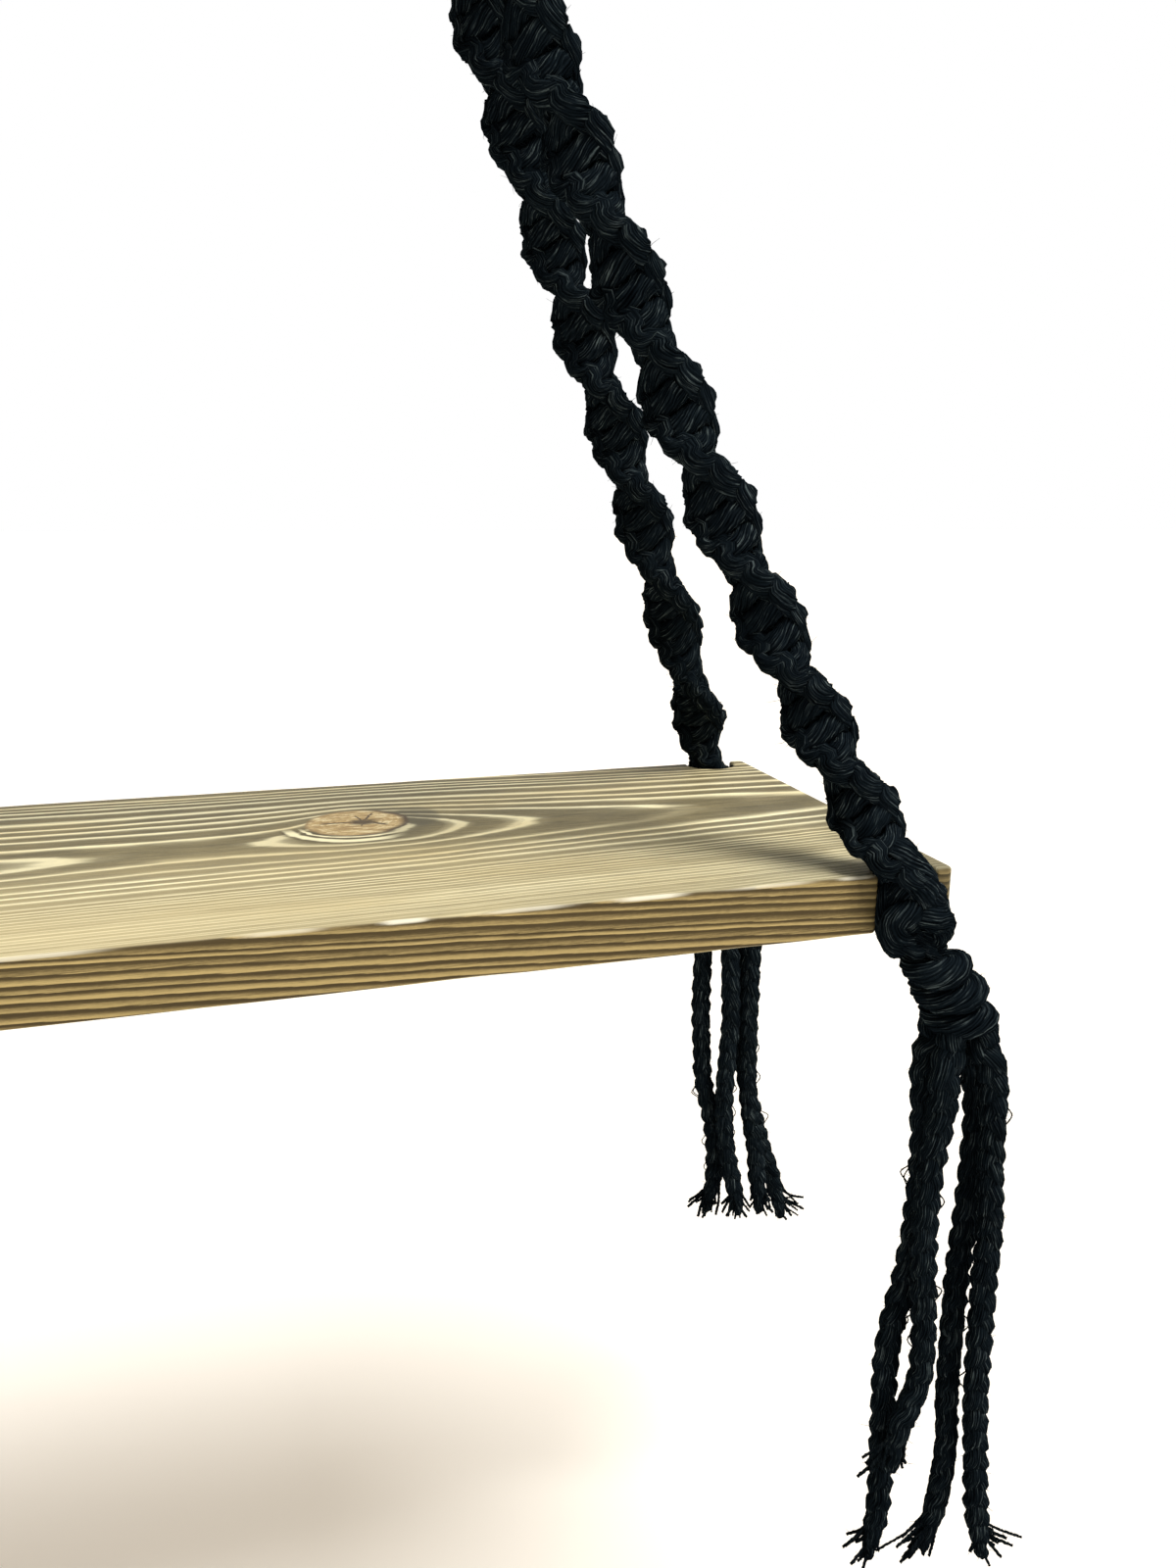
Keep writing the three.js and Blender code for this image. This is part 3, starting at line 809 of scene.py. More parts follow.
class Skein:
    """Cords gathered into one closed mesh, charted by length and turn."""

    PER_YARN = 3
    RIDGE_SHARES = np.array([0.0, 0.75, 0.75])

    def __init__(self, seed: int) -> None:
        """Starts an empty mesh with its own source of chance.

        Args:
            seed: where its chance starts.
        """
        self.chance = np.random.default_rng(seed)
        self.vertices: list[Array] = []
        self.outward: list[Array] = []
        self.faces: list[Array] = []
        self.charts: list[Array] = []
        self.count = 0

    def _waver(self, along: Array, yarns: Yarns, reach: float = 7 * MM) -> Array:
        """Makes yarns swell unevenly.

        Args:
            along: distances along the cord.
            yarns: how its yarns lie.
            reach: how long a swell is.

        Returns:
            How much each yarn swells, one column a yarn.
        """
        waves = np.zeros((len(along), yarns.count))
        for share in (1.0, 0.43):
            phase = self.chance.uniform(0, 2 * np.pi, yarns.count)
            pace = self.chance.uniform(0.8, 1.25, yarns.count) * 2 * np.pi / (reach * share)
            waves += np.sin(along[:, None] * pace + phase) * 0.5
        return 1 + yarns.uneven * waves

    def add(self, path: Array, facing: Array, half_wide: Array | float, half_deep: Array | float,
            yarns: Yarns, blunt: float = 0.6) -> None:
        """Adds one cord.

        Args:
            path: points along its middle.
            facing: a direction out of the cord's flat at each point.
            half_wide: half its width, square to the facing direction.
            half_deep: half its depth, along the facing direction.
            yarns: how its yarns lie.
            blunt: how much it narrows at its two ends.
        """
        tangents = unit(np.gradient(path, axis=0))
        normals = square_to(np.broadcast_to(facing, path.shape), tangents)
        sideways = np.cross(tangents, normals)
        steps = np.linalg.norm(np.diff(path, axis=0), axis=1)
        along = np.concatenate([[0.0], np.cumsum(steps)])
        sides = yarns.count * self.PER_YARN
        column = np.arange(sides)
        lay = 2 * np.pi * along[:, None] / yarns.lay + self.chance.uniform(0, 2 * np.pi)
        angle = 2 * np.pi * column / sides + lay
        groove = 1 - yarns.groove * self.RIDGE_SHARES[column % self.PER_YARN]
        swell = groove * np.repeat(self._waver(along, yarns), self.PER_YARN, axis=1)
        cap = np.minimum(along, along[-1] - along) / (2.5 * MM)
        close = (1 - blunt * np.clip(1 - cap, 0, 1) ** 2)[:, None]
        wide = np.broadcast_to(half_wide, along.shape)[:, None] * np.cos(angle) * swell * close
        deep = np.broadcast_to(half_deep, along.shape)[:, None] * np.sin(angle) * swell * close
        offsets = wide[..., None] * sideways[:, None] + deep[..., None] * normals[:, None]
        rings = (path[:, None] + offsets).reshape(-1, 3)
        self._add_rings(rings, unit(offsets.reshape(-1, 3)), path[[0, -1]], len(path), sides, along)

    def _add_rings(self, rings: Array, outward: Array, ends: Array, rows: int, sides: int,
                   along: Array) -> None:
        """Joins rows of points and closes both ends.

        Args:
            rings: the points, row after row.
            outward: the direction out of the cord at each point.
            ends: the middles of the two ends.
            rows: how many rows.
            sides: how many points a row has.
            along: how far along the cord each row is.
        """
        start = self.count
        row = np.repeat(np.arange(rows - 1), sides)
        side = np.tile(np.arange(sides), rows - 1)
        after = (side + 1) % sides
        low, high = start + row * sides, start + (row + 1) * sides
        quads = np.stack([low + side, high + side, high + after, low + after], axis=1)
        u, u_after = along[row], along[row + 1]
        v, v_after = side / sides, (side + 1) / sides
        chart = np.stack([u, v, u_after, v, u_after, v_after, u, v_after], axis=1).reshape(-1, 4, 2)
        self.faces.append(quads)
        self.charts.append(chart)
        turn = np.arange(sides)
        first, last = start + rows * sides, start + rows * sides + 1
        final = start + (rows - 1) * sides
        for hub, ring, order, place in ((first, start, 1, along[0]), (last, final, -1, along[-1])):
            pair = (ring + turn, ring + (turn + 1) % sides)[::order]
            self.faces.append(np.stack([np.full(sides, hub), *pair], axis=1))
            corner = [np.full(sides, place), turn / sides]
            self.charts.append(np.stack(corner * 3, axis=1).reshape(-1, 3, 2))
        self.vertices += [rings, ends]
        self.outward += [outward, np.zeros((2, 3))]
        self.count += len(rings) + 2

    def add_fuzz(self, count: int, length: float = 1.5 * MM, radius: float = 0.08 * MM,
                 ground: "Skein | None" = None) -> None:
        """Adds short fibres that stand out of the cords.

        Args:
            count: how many.
            length: about how long.
            radius: how thick at the root.
            ground: another skein for them to stand on.
        """
        surface = np.vstack((ground or self).vertices)
        outward = np.vstack((ground or self).outward)
        root = self.chance.choice(np.flatnonzero(np.any(outward != 0, axis=1)), count)
        lean = unit(outward[root] + self.chance.normal(0, 0.75, (count, 3)))
        bend = self.chance.normal(0, 0.55, (count, 3))
        reach = length * self.chance.uniform(0.35, 1.35, count)[:, None]
        lines = np.stack([
            surface[root] + (lean * share + bend * share**2) * reach - outward[root] * 0.2 * MM
            for share in (0.0, 0.5, 1.0)], axis=1)
        self._add_hairs(lines, np.full((count, 3), radius) * np.array([1.0, 0.9, 0.4]))

    def _add_hairs(self, lines: Array, radii: Array) -> None:
        """Adds many three-sided strands.

        Args:
            lines: each strand's points, as many for each.
            radii: its radius at each point.
        """
        count, rows, _ = lines.shape
        tangents = unit(np.gradient(lines, axis=1))
        normals = unit(np.cross(tangents, self.chance.normal(0, 1, (count, 1, 3))))
        sideways = np.cross(tangents, normals)
        corners = []
        for k in range(3):
            c, s = math.cos(2 * math.pi * k / 3), math.sin(2 * math.pi * k / 3)
            corners.append(lines + (sideways * c + normals * s) * radii[..., None])
        rings = np.stack(corners, axis=2).reshape(-1, 3)
        base = self.count + (np.arange(count) * rows * 3)[:, None, None]
        row = (np.arange(rows - 1) * 3)[None, :, None]
        side = np.arange(3)[None, None, :]
        after = (side + 1) % 3
        quads = np.stack([base + row + side, base + row + 3 + side,
                          base + row + 3 + after, base + row + after], axis=-1).reshape(-1, 4)
        start = base[:, 0, 0]
        final = start + (rows - 1) * 3
        caps = np.vstack([np.stack([start, start + 1, start + 2], axis=1),
                          np.stack([final, final + 2, final + 1], axis=1)])
        self.faces += [quads, caps]
        self.charts += [np.full((len(quads), 4, 2), 0.3), np.full((len(caps), 3, 2), 0.3)]
        self.vertices.append(rings)
        self.outward.append(np.zeros_like(rings))
        self.count += len(rings)

    def build(self, name: str, material: bpy.types.Material, turned: bool = False) -> bpy.types.Object:
        """Makes the mesh object.

        Args:
            name: the piece's name.
            material: its finish.
            turned: whether it is turned half round, for the shelf's other end.

        Returns:
            The new object, at the origin.
        """
        points = np.vstack(self.vertices) * (np.array([-1.0, -1.0, 1.0]) if turned else 1.0)
        faces = [row for block in self.faces for row in block.tolist()]
        mesh = bpy.data.meshes.new(name)
        mesh.from_pydata(points.tolist(), [], faces)
        layer = mesh.uv_layers.new(name="cord")
        chart = np.concatenate([block.ravel() for block in self.charts])
        layer.uv.foreach_set("vector", chart.astype(np.float32))
        mesh.polygons.foreach_set("use_smooth", np.ones(len(mesh.polygons), bool))
        mesh.materials.append(material)
        return new_object(name, mesh)


def give(piece: bpy.types.Object, body: str, slot: Slot, *nodes: str) -> bpy.types.Object:
    """Puts a piece on its body and hides the frame nodes that it stands for.

    Args:
        piece: the piece.
        body: the body that it rides on.
        slot: not used.
        nodes: the nodes that it stands for.

    Returns:
        The piece.
    """
    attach(piece, body)
    if nodes:
        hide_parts(*nodes)
    piece.data.calc_loop_triangles()
    LOG.info("%s rides on %s, %d triangles", piece.name, body, len(piece.data.loop_triangles))
    return piece


@dataclass(frozen=True)
class RopeKind:
    """One of the two hand-tied ropes of an end, which differ a little.

    The turns give the sinnet's twist in degrees, and the sway how far it hangs to the side in
    millimetres, both at heights over the board in millimetres. The cord routes are the points
    of the tassel's four cords from the stop knot's ball, in millimetres, and the leans are how
    far their frayed ends lean along the board.
    """

    side: int
    route_shares: tuple[Triple, ...]
    foot_drift: float
    knot_drift: float
    turns: tuple[tuple[float, float], ...]
    sway: tuple[tuple[float, float], ...]
    cord_routes: tuple[tuple[Triple, ...], ...]
    leans: tuple[float, ...]


FRONT_CORD_ROUTES = (
    ((-5.6, -4.9, -9.9), (-7.9, -6.5, -15.2), (-7.6, -6, -30), (-9.3, -5.6, -45), (-10.1, -5.4, -60),
     (-9.8, -5.3, -78), (-8.2, -5.3, -98), (-7, -5.4, -116), (-7.2, -5.6, -128), (-9.8, -5.8, -137),
     (-13.4, -6, -145), (-15.2, -6.2, -155), (-15.6, -6.4, -164)),
    ((-5.6, 4.9, -9.9), (-6.2, 6.3, -15.4), (-7.2, 5.2, -30), (-6.3, 4.4, -50), (-6.9, 4.2, -75),
     (-9.4, 4.2, -99), (-12.9, 4.2, -114), (-14.2, 4.2, -130), (-13.8, 4.3, -152), (-12.8, 4.5, -175),
     (-12.9, 4.6, -191), (-14.3, 4.6, -203), (-15.6, 4.6, -212)),
    ((5.6, 4.9, -9.9), (8.4, 6.2, -15.6), (12, 5.9, -27), (14, 5.6, -41), (13.8, 5.5, -62),
     (12.8, 5.4, -84), (12, 5.4, -104), (11.8, 5.4, -128), (12.4, 5.5, -152), (13.9, 5.6, -170),
     (13.4, 5.7, -186), (11.8, 5.8, -198), (9.8, 5.9, -208), (8, 6, -217)),
    ((5.6, -4.9, -9.9), (8.0, -6.2, -15.6), (10.8, -5.4, -24), (12.6, -4.5, -38), (13.8, -4.2, -57),
     (15.8, -4.1, -78), (15.5, -4.1, -95), (16, -4.1, -116), (16.4, -4.1, -136), (17.4, -4.1, -152),
     (19.4, -4.1, -172), (21.6, -4.2, -192), (24, -4.3, -205), (26.2, -4.4, -215)),
)
BACK_CORD_ROUTES = (
    ((-5.6, 4.9, -9.9), (-8.4, 6.2, -15.6), (-10.8, 5.6, -30), (-11.5, 5.2, -46), (-11.9, 4.9, -62),
     (-11.8, 4.8, -78), (-10.9, 4.8, -94), (-9.6, 5, -110), (-6.9, 5.3, -122), (-4.2, 5.4, -134),
     (-2.5, 5.5, -151), (-2.4, 5.6, -163), (-4.2, 5.6, -173), (-5.9, 5.6, -182)),
    ((-5.6, -4.9, -9.9), (-7.8, -6.2, -15.6), (-5.8, -5.6, -28), (-2.6, -5, -44), (-1.6, -4.8, -60),
     (-0.8, -4.6, -76), (-1.6, -4.4, -92), (-2.5, -4.4, -108), (-2.4, -4.4, -125), (-0.8, -4.6, -142),
     (3, -4.8, -160), (5.6, -4.8, -171), (7, -4.8, -179)),
    ((5.6, -4.9, -9.9), (8.2, -6.2, -15.6), (9, -5, -28), (8.6, -4.2, -46), (8.8, -3.8, -62),
     (8.8, -3.6, -78), (9, -3.6, -94), (9.4, -3.6, -110), (11.4, -3.6, -128), (14.6, -3.6, -145),
     (16.6, -3.6, -163), (17.6, -3.6, -173), (18, -3.6, -181)),
    ((5.6, 4.9, -9.9), (8.2, 6.2, -15.6), (9.6, 6.2, -28), (9.6, 6.2, -46), (9.4, 6.2, -62),
     (9.6, 6.2, -78), (10.4, 6.3, -94), (12.6, 6.4, -112), (16.4, 6.6, -127), (20.4, 7, -141),
     (24, 7.4, -153), (28.4, 7.8, -165), (31.4, 8, -175), (34, 8.1, -185), (36.4, 8.2, -195)),
)

FRONT_ROPE = RopeKind(
    side=-1,
    route_shares=((0.059, 0.937, 0.871), (0.1415, 0.846, 0.676), (0.283, 0.705, 0.472),
                  (0.472, 0.517, 0.32), (0.7075, 0.289, 0.129)),
    foot_drift=0.0,
    knot_drift=22.3 * MM,
    turns=((-9.0, 867.0), (18.4, 688.4), (44.0, 509.9), (74.0, 332.7), (106.0, 154.0),
           (136.0, -24.6), (170.0, -203.9), (203.0, -384.3), (229.0, -564.5)),
    sway=((-45.0, 0.0), (-15.0, -1.4), (8.0, -2.2), (28.0, -2.4), (60.0, -1.0), (110.0, -1.4),
          (200.0, -1.5), (270.0, -1.0), (400.0, 0.0)),
    cord_routes=FRONT_CORD_ROUTES,
    leans=(-1 * MM, -4 * MM, -8 * MM, 7 * MM),
)
BACK_ROPE = RopeKind(
    side=1,
    route_shares=((0.059, 0.955, 0.871), (0.1415, 0.875, 0.676), (0.283, 0.74, 0.472),
                  (0.472, 0.551, 0.32), (0.7075, 0.312, 0.129)),
    foot_drift=2.7 * MM,
    knot_drift=17.8 * MM,
    turns=((21.0, 525.4), (65.0, 346.6), (103.0, 165.5), (134.0, -15.3), (166.0, -195.9),
           (193.0, -375.7), (226.0, -555.3), (251.0, -735.4)),
    sway=((-45.0, 0.0), (0.0, -0.5), (25.0, -1.6), (60.0, -3.0), (100.0, -4.4), (200.0, -4.8),
          (270.0, -3.2), (400.0, 0.0)),
    cord_routes=BACK_CORD_ROUTES,
    leans=(-4 * MM, -1 * MM, 2 * MM, 5 * MM),
)


@dataclass(frozen=True)
class ShelfSizes:
    """The sizes that the ropes share with the frame."""

    board_length: float = 400 * MM
    board_depth: float = 160 * MM
    board_top: float = -525 * MM
    board_bottom: float = -544 * MM
    rope_from_end: float = 18.3 * MM
    knot_drop: float = 46.5 * MM
    knot_out: float = 3 * MM
    gather_offset: float = 6.5 * MM
    gather_height: float = -101.3 * MM
    strand: float = 6.2 * MM
    half_turn: float = 34.5 * MM
    half_knot: float = 7.7 * MM
    loose: float = 70 * MM
    under_share: float = 0.36
    under_out_share: float = 1.3


SIZES = ShelfSizes()


class RopeLine:
    """The middle of one rope at the right-hand end, from its stop knot's ball upward."""

    def __init__(self, kind: RopeKind) -> None:
        """Lays the line as the frame's solids lie.

        Args:
            kind: which of the two ropes it is.
        """
        s = SIZES
        end = s.board_length / 2 - s.rope_from_end
        half = s.board_depth / 2
        self.ball = np.array([end + kind.knot_drift, kind.side * (half + s.knot_out),
                              s.board_top - s.knot_drop])
        foot = np.array([end + kind.foot_drift, kind.side * half, s.board_top])
        head = np.array([s.gather_offset, kind.side * s.gather_offset, s.gather_height])
        under = foot + (self.ball - foot) * s.under_share
        under[1:] = kind.side * (half + s.under_out_share * s.knot_out), s.board_bottom
        rising = [(head[0] + (foot[0] - head[0]) * along, head[1] + (foot[1] - head[1]) * across,
                   foot[2] + (head[2] - foot[2]) * rise) for rise, along, across in kind.route_shares]
        top = head + np.array([0, 0, s.strand])
        plain = Route([self.ball, under, foot, *rising, head, top]).spaced(8 * MM)
        heights, shifts = np.array(kind.sway).T * MM
        plain[:, 0] += np.interp(plain[:, 2] - s.board_top, heights, shifts)
        self.route = Route(plain)
        self.foot = foot
        self._set_turns(kind)

    def _set_turns(self, kind: RopeKind) -> None:
        """Sets how far the sinnet is turned at stations along the line.

        Args:
            kind: which of the two ropes it is.
        """
        places = np.array([self.route.distance_at_height(SIZES.board_top + height * MM)
                           for height, _ in kind.turns])
        angles = np.radians([degrees for _, degrees in kind.turns])
        ends = np.array([0.0, self.route.length])
        beyond = angles[[0, -1]] - (ends - places[[0, -1]]) * np.pi / SIZES.half_turn
        self.stations = np.concatenate([ends[:1], places, ends[1:]])
        self.angles = np.concatenate([beyond[:1], angles, beyond[1:]])

    def place(self, across: Array, toward: Array, distance: Array) -> Array:
        """Returns places off the line, across the sinnet and out of its flat."""
        wide, flat = self.directions(distance)
        return self.route.at(distance) + across[:, None] * wide + toward[:, None] * flat

    def directions(self, distance: Array) -> tuple[Array, Array]:
        """Finds which way the sinnet's width and its flat face.

        Args:
            distance: how far up the line.

        Returns:
            Both directions for each distance.
        """
        up = self.route.tangent(distance)
        first = square_to(np.tile([1.0, 0.0, 0.0], (len(distance), 1)), up)
        second = np.cross(up, first)
        turn = np.interp(distance, self.stations, self.angles)
        c, s = np.cos(turn)[:, None], np.sin(turn)[:, None]
        return c * first + s * second, s * first - c * second


@dataclass
class Corner:
    """One corner of the shelf: its rope, knot and tassel."""

    name: str
    kind: RopeKind
    turned: bool
    seed: int
    line: RopeLine = field(init=False)

    def __post_init__(self) -> None:
        """Lays the rope's line."""
        self.line = RopeLine(self.kind)

    def put(self, points: Array) -> Array:
        """Returns right-hand-end places as they lie at this corner."""
        return points * (np.array([-1.0, -1.0, 1.0]) if self.turned else 1.0)


@dataclass
class SpiralSinnet:
    """Half knots that all turn one way: two working cords over two fillers, winding round."""

    corner: Corner
    material: bpy.types.Material
    low_drop: float = 22 * MM
    cord_half_width: float = 4.2 * MM
    cord_half_depth: float = 2.5 * MM
    filler_radius: float = 2.4 * MM
    filler_offset: float = 2.4 * MM
    core_half_width: float = 5.9 * MM
    loose_radius: float = 2.9 * MM
    loose_offset: float = 3.1 * MM
    step: float = 1.25 * MM
    fuzz: int = 3000
    WORKING_YARNS = Yarns(7, 0.16, 60 * MM, 0.08)
    FILLER_YARNS = Yarns(5, 0.2, 30 * MM)
    CORE_YARNS = Yarns(6, 0.15, 40 * MM)
    # Half the width and depth of the oval that the flat of a working cord lies along.
    OVAL = (9.0, 4.2)
    # One half knot of a working cord, front crossing first: place across, place toward the
    # viewer in millimetres, and height as a share of a half knot.
    HALF_KNOT = (
        (-7.9, -2.5, 0.35), (-6.6, -0.7, 0.0), (-5.1, 2.3, -0.05), (-3.2, 3.7, 0.0),
        (0.0, 4.1, 0.12), (3.2, 3.8, 0.25), (5.4, 2.1, 0.30), (7.3, -1.0, 0.15), (8.3, 1.5, -0.30),
    )
    # Its way down into the first half knot, with the height as a share of the loose length, and
    # its end under the last one, all other figures in millimetres.
    LOOSE_END = ((3.1, 3.1, 1.0), (3.1, 3.1, 0.72), (4.4, 2.8, 0.45), (7.4, 2.2, 0.2))
    TUCKED_END = ((6.0, 2.0, 0.0), (2.5, 1.0, -3.0))

    def _working_cord(self, flip: int, top: float, knots: int, skein: Skein) -> Array:
        """Lays one working cord from the top down.

        Args:
            flip: 1 or -1, the side on which it starts.
            top: how far up the line the first half knot is.
            knots: how many half knots it makes.
            skein: the rope, for its source of chance.

        Returns:
            Its places across the rope, out of its flat and up the line.
        """
        rows = [(-flip * x * MM, -flip * y * MM, top + share * SIZES.loose)
                for x, y, share in self.LOOSE_END]
        for knot in range(knots):
            sign = flip * (-1) ** knot
            spread = skein.chance.normal(1.0, 0.025)
            lift = skein.chance.normal(0.0, 0.25 * MM)
            for x, y, z in self.HALF_KNOT:
                rows.append((sign * x * MM * spread, sign * y * MM / spread,
                             top + (z - knot) * SIZES.half_knot + lift))
        sign = flip * (-1) ** knots
        foot = top - knots * SIZES.half_knot
        rows += [(-sign * x * MM, -sign * y * MM, foot + z * MM) for x, y, z in self.TUCKED_END]
        return np.array(rows)

    def build(self) -> bpy.types.Object:
        """Builds the rope as one piece.

        Returns:
            The piece.
        """
        line = self.corner.line
        skein = Skein(self.corner.seed)
        low = line.route.distance_at_height(SIZES.board_top - self.low_drop)
        top = line.route.length - SIZES.loose - SIZES.half_knot
        knots = round((top - low) / SIZES.half_knot)
        for flip in (1, -1):
            local = Route(self._working_cord(flip, top, knots, skein)).spaced(self.step)
            x, y, up = local[:, 0], local[:, 1], local[:, 2]
            up = np.minimum(up, line.route.length)
            path = line.place(x, y, up)
            wide, flat = line.directions(up)
            out = unit(np.stack([x / self.OVAL[0]**2, y / self.OVAL[1]**2], axis=1))
            facing = out[:, :1] * wide + out[:, 1:] * flat
            loose = ease(up, top + 6 * MM, top + 40 * MM)
            half_wide = self.cord_half_width + (self.loose_radius - self.cord_half_width) * loose
            half_deep = self.cord_half_depth + (self.loose_radius - self.cord_half_depth) * loose
            skein.add(path, facing, half_wide, half_deep, self.WORKING_YARNS)
        self._add_fillers(skein, line, low - 8 * MM, top)
        up = np.linspace(low - 4 * MM, top, 150)
        skein.add(line.route.at(up), line.directions(up)[1], self.core_half_width,
                  self.filler_radius, self.CORE_YARNS)
        skein.add_fuzz(self.fuzz)
        made = skein.build(f"{self.corner.name}_rope", self.material, self.corner.turned)
        return give(made, SHELF_BODY, Slot.COTTON, f"{self.corner.name}_sinnet")

    def _add_fillers(self, skein: Skein, line: RopeLine, low: float, top: float) -> None:
        """Adds the two straight cords in the middle.

        Args:
            skein: the rope's cords so far.
            line: the rope's middle.
            low: how far up the line they start.
            top: how far up it the half knots end.
        """
        up = np.linspace(low, line.route.length, 160)
        loose = ease(up, top + 6 * MM, top + 50 * MM)
        for sign in (1, -1):
            x = sign * (self.filler_offset + (self.loose_offset - self.filler_offset) * loose)
            y = -sign * self.loose_offset * loose
            radius = self.filler_radius + (self.loose_radius - self.filler_radius) * loose
            facing = line.directions(up)[1]
            skein.add(line.place(x, y, up), facing, radius, radius, self.FILLER_YARNS)


@dataclass
class StopKnot:
    """The rope's last crossings on the board's edge, then stacked rolls that end in a ball."""

    corner: Corner
    material: bpy.types.Material
    roll_radius: float = 7.1 * MM
    roll_half_height: float = 4.9 * MM
    roll_half_depth: float = 5.0 * MM
    pitch: float = 9.9 * MM
    turns: float = 3.0
    ball_share: float = 0.9167
    axis: Triple = (-0.527, 0.0, 0.85)
    roll_rise: float = math.radians(23)
    crossing_half_depth: float = 3.5 * MM
    root_half_width: float = 4.6 * MM
    root_half_depth: float = 4.0 * MM
    fuzz: int = 700
    CROSSING_YARNS = Yarns(10, 0.13, 55 * MM, 0.06)
    ROLL_YARNS = Yarns(12, 0.12, 46 * MM, 0.06)
    ROOT_YARNS = Yarns(8, 0.16, 60 * MM)
    # Fat loops of the last crossings: places along the board, outward and up from the rope's
    # foot, then half the width, all in millimetres.
    CROSSINGS = (
        (((-5.0, 0, 10), (-2.2, 6, 5), (2.2, 8.0, -1), (4.4, 7.0, -7), (4.0, 4, -13)), 5.3),
        (((3, 4, -7.5), (-1.5, 7.5, -9.5), (-5.3, 6.2, -13), (-4.2, 5, -18), (2.5, 3, -23)), 4.5),
        (((1, 5, -9.5), (5.4, 8.5, -11.5), (11.4, 6, -15), (12.4, 3.5, -20), (8, 1, -25)), 4.6),
        (((-2.5, 0, -2), (-4.6, 0, -8), (-5.0, 0, -14), (-3.8, 1, -20), (1, 1, -26)), 3.4),
    )
    CROSSINGS_MIDDLE = (3.5, 0, -12)
    # One cord end out of the last roll: places out of the ball, in millimetres.
    ROOT = ((1.0, 2.5, 1.0), (4.6, 4.8, -1.5), (6.4, 5.6, -6.0), (6.6, 5.4, -10.5))

    def build(self) -> bpy.types.Object:
        """Builds the knot as one piece.

        Returns:
            The piece.
        """
        skein = Skein(self.corner.seed + 100)
        self._add_crossings(skein)
        self._add_wrap(skein)
        self._add_roots(skein)
        skein.add_fuzz(self.fuzz)
        made = skein.build(f"{self.corner.name}_knot", self.material, self.corner.turned)
        return give(made, SHELF_BODY, Slot.COTTON, f"{self.corner.name}_stop_knot")

    def _add_crossings(self, skein: Skein) -> None:
        """Adds the fat loops that lie on the board's edge.

        Args:
            skein: the knot's cords so far.
        """
        side, foot = self.corner.kind.side, self.corner.line.foot
        middle = foot + np.array(self.CROSSINGS_MIDDLE) * MM
        for places, half_width in self.CROSSINGS:
            path = Route(np.array(places) * (1, side, 1) * MM + foot).spaced(1.2 * MM)
            skein.add(path, unit(path - middle) + (0, side, 0), half_width * MM,
                      self.crossing_half_depth, self.CROSSING_YARNS)

    def _add_wrap(self, skein: Skein) -> None:
        """Adds the fat cord wound round the rope, its ends tucked in.

        Args:
            skein: the knot's cords so far.
        """
        line = self.corner.line
        share = np.linspace(0, 1, 170)
        angle = 2 * np.pi * (self.turns * share - 1)
        up = unit(np.array(self.axis))
        rise = self.pitch * self.turns * (self.ball_share - share)
        tuck = np.minimum(ease(share, 0.0, 0.07), ease(share, 1.0, 0.93))
        first = np.array([math.cos(self.roll_rise), 0, math.sin(self.roll_rise)])
        second = np.array([0.0, 1.0, 0.0])
        out = first * np.cos(angle)[:, None] + second * np.sin(angle)[:, None]
        radius = self.roll_radius * (0.3 + 0.7 * tuck) * (0.68 + 0.38 * share)
        path = line.ball + up * (rise - 1 * MM)[:, None] + out * radius[:, None]
        swell = 0.96 + 0.08 * np.sin(angle * 1.7 + self.corner.seed)
        skein.add(path, out, self.roll_half_height * swell, self.roll_half_depth, self.ROLL_YARNS)

    def _add_roots(self, skein: Skein) -> None:
        """Adds the four cord ends that turn down out of the last roll.

        Args:
            skein: the knot's cords so far.
        """
        ball = self.corner.line.ball
        for across, toward in ((-1, -1), (-1, 1), (1, -1), (1, 1)):
            lean = np.array([across, toward, 1.0])
            path = Route(np.array(self.ROOT) * lean * MM + ball).spaced(1.2 * MM)
            out = np.tile([across, toward, 0.3], (len(path), 1))
            skein.add(path, out, self.root_half_width, self.root_half_depth, self.ROOT_YARNS)


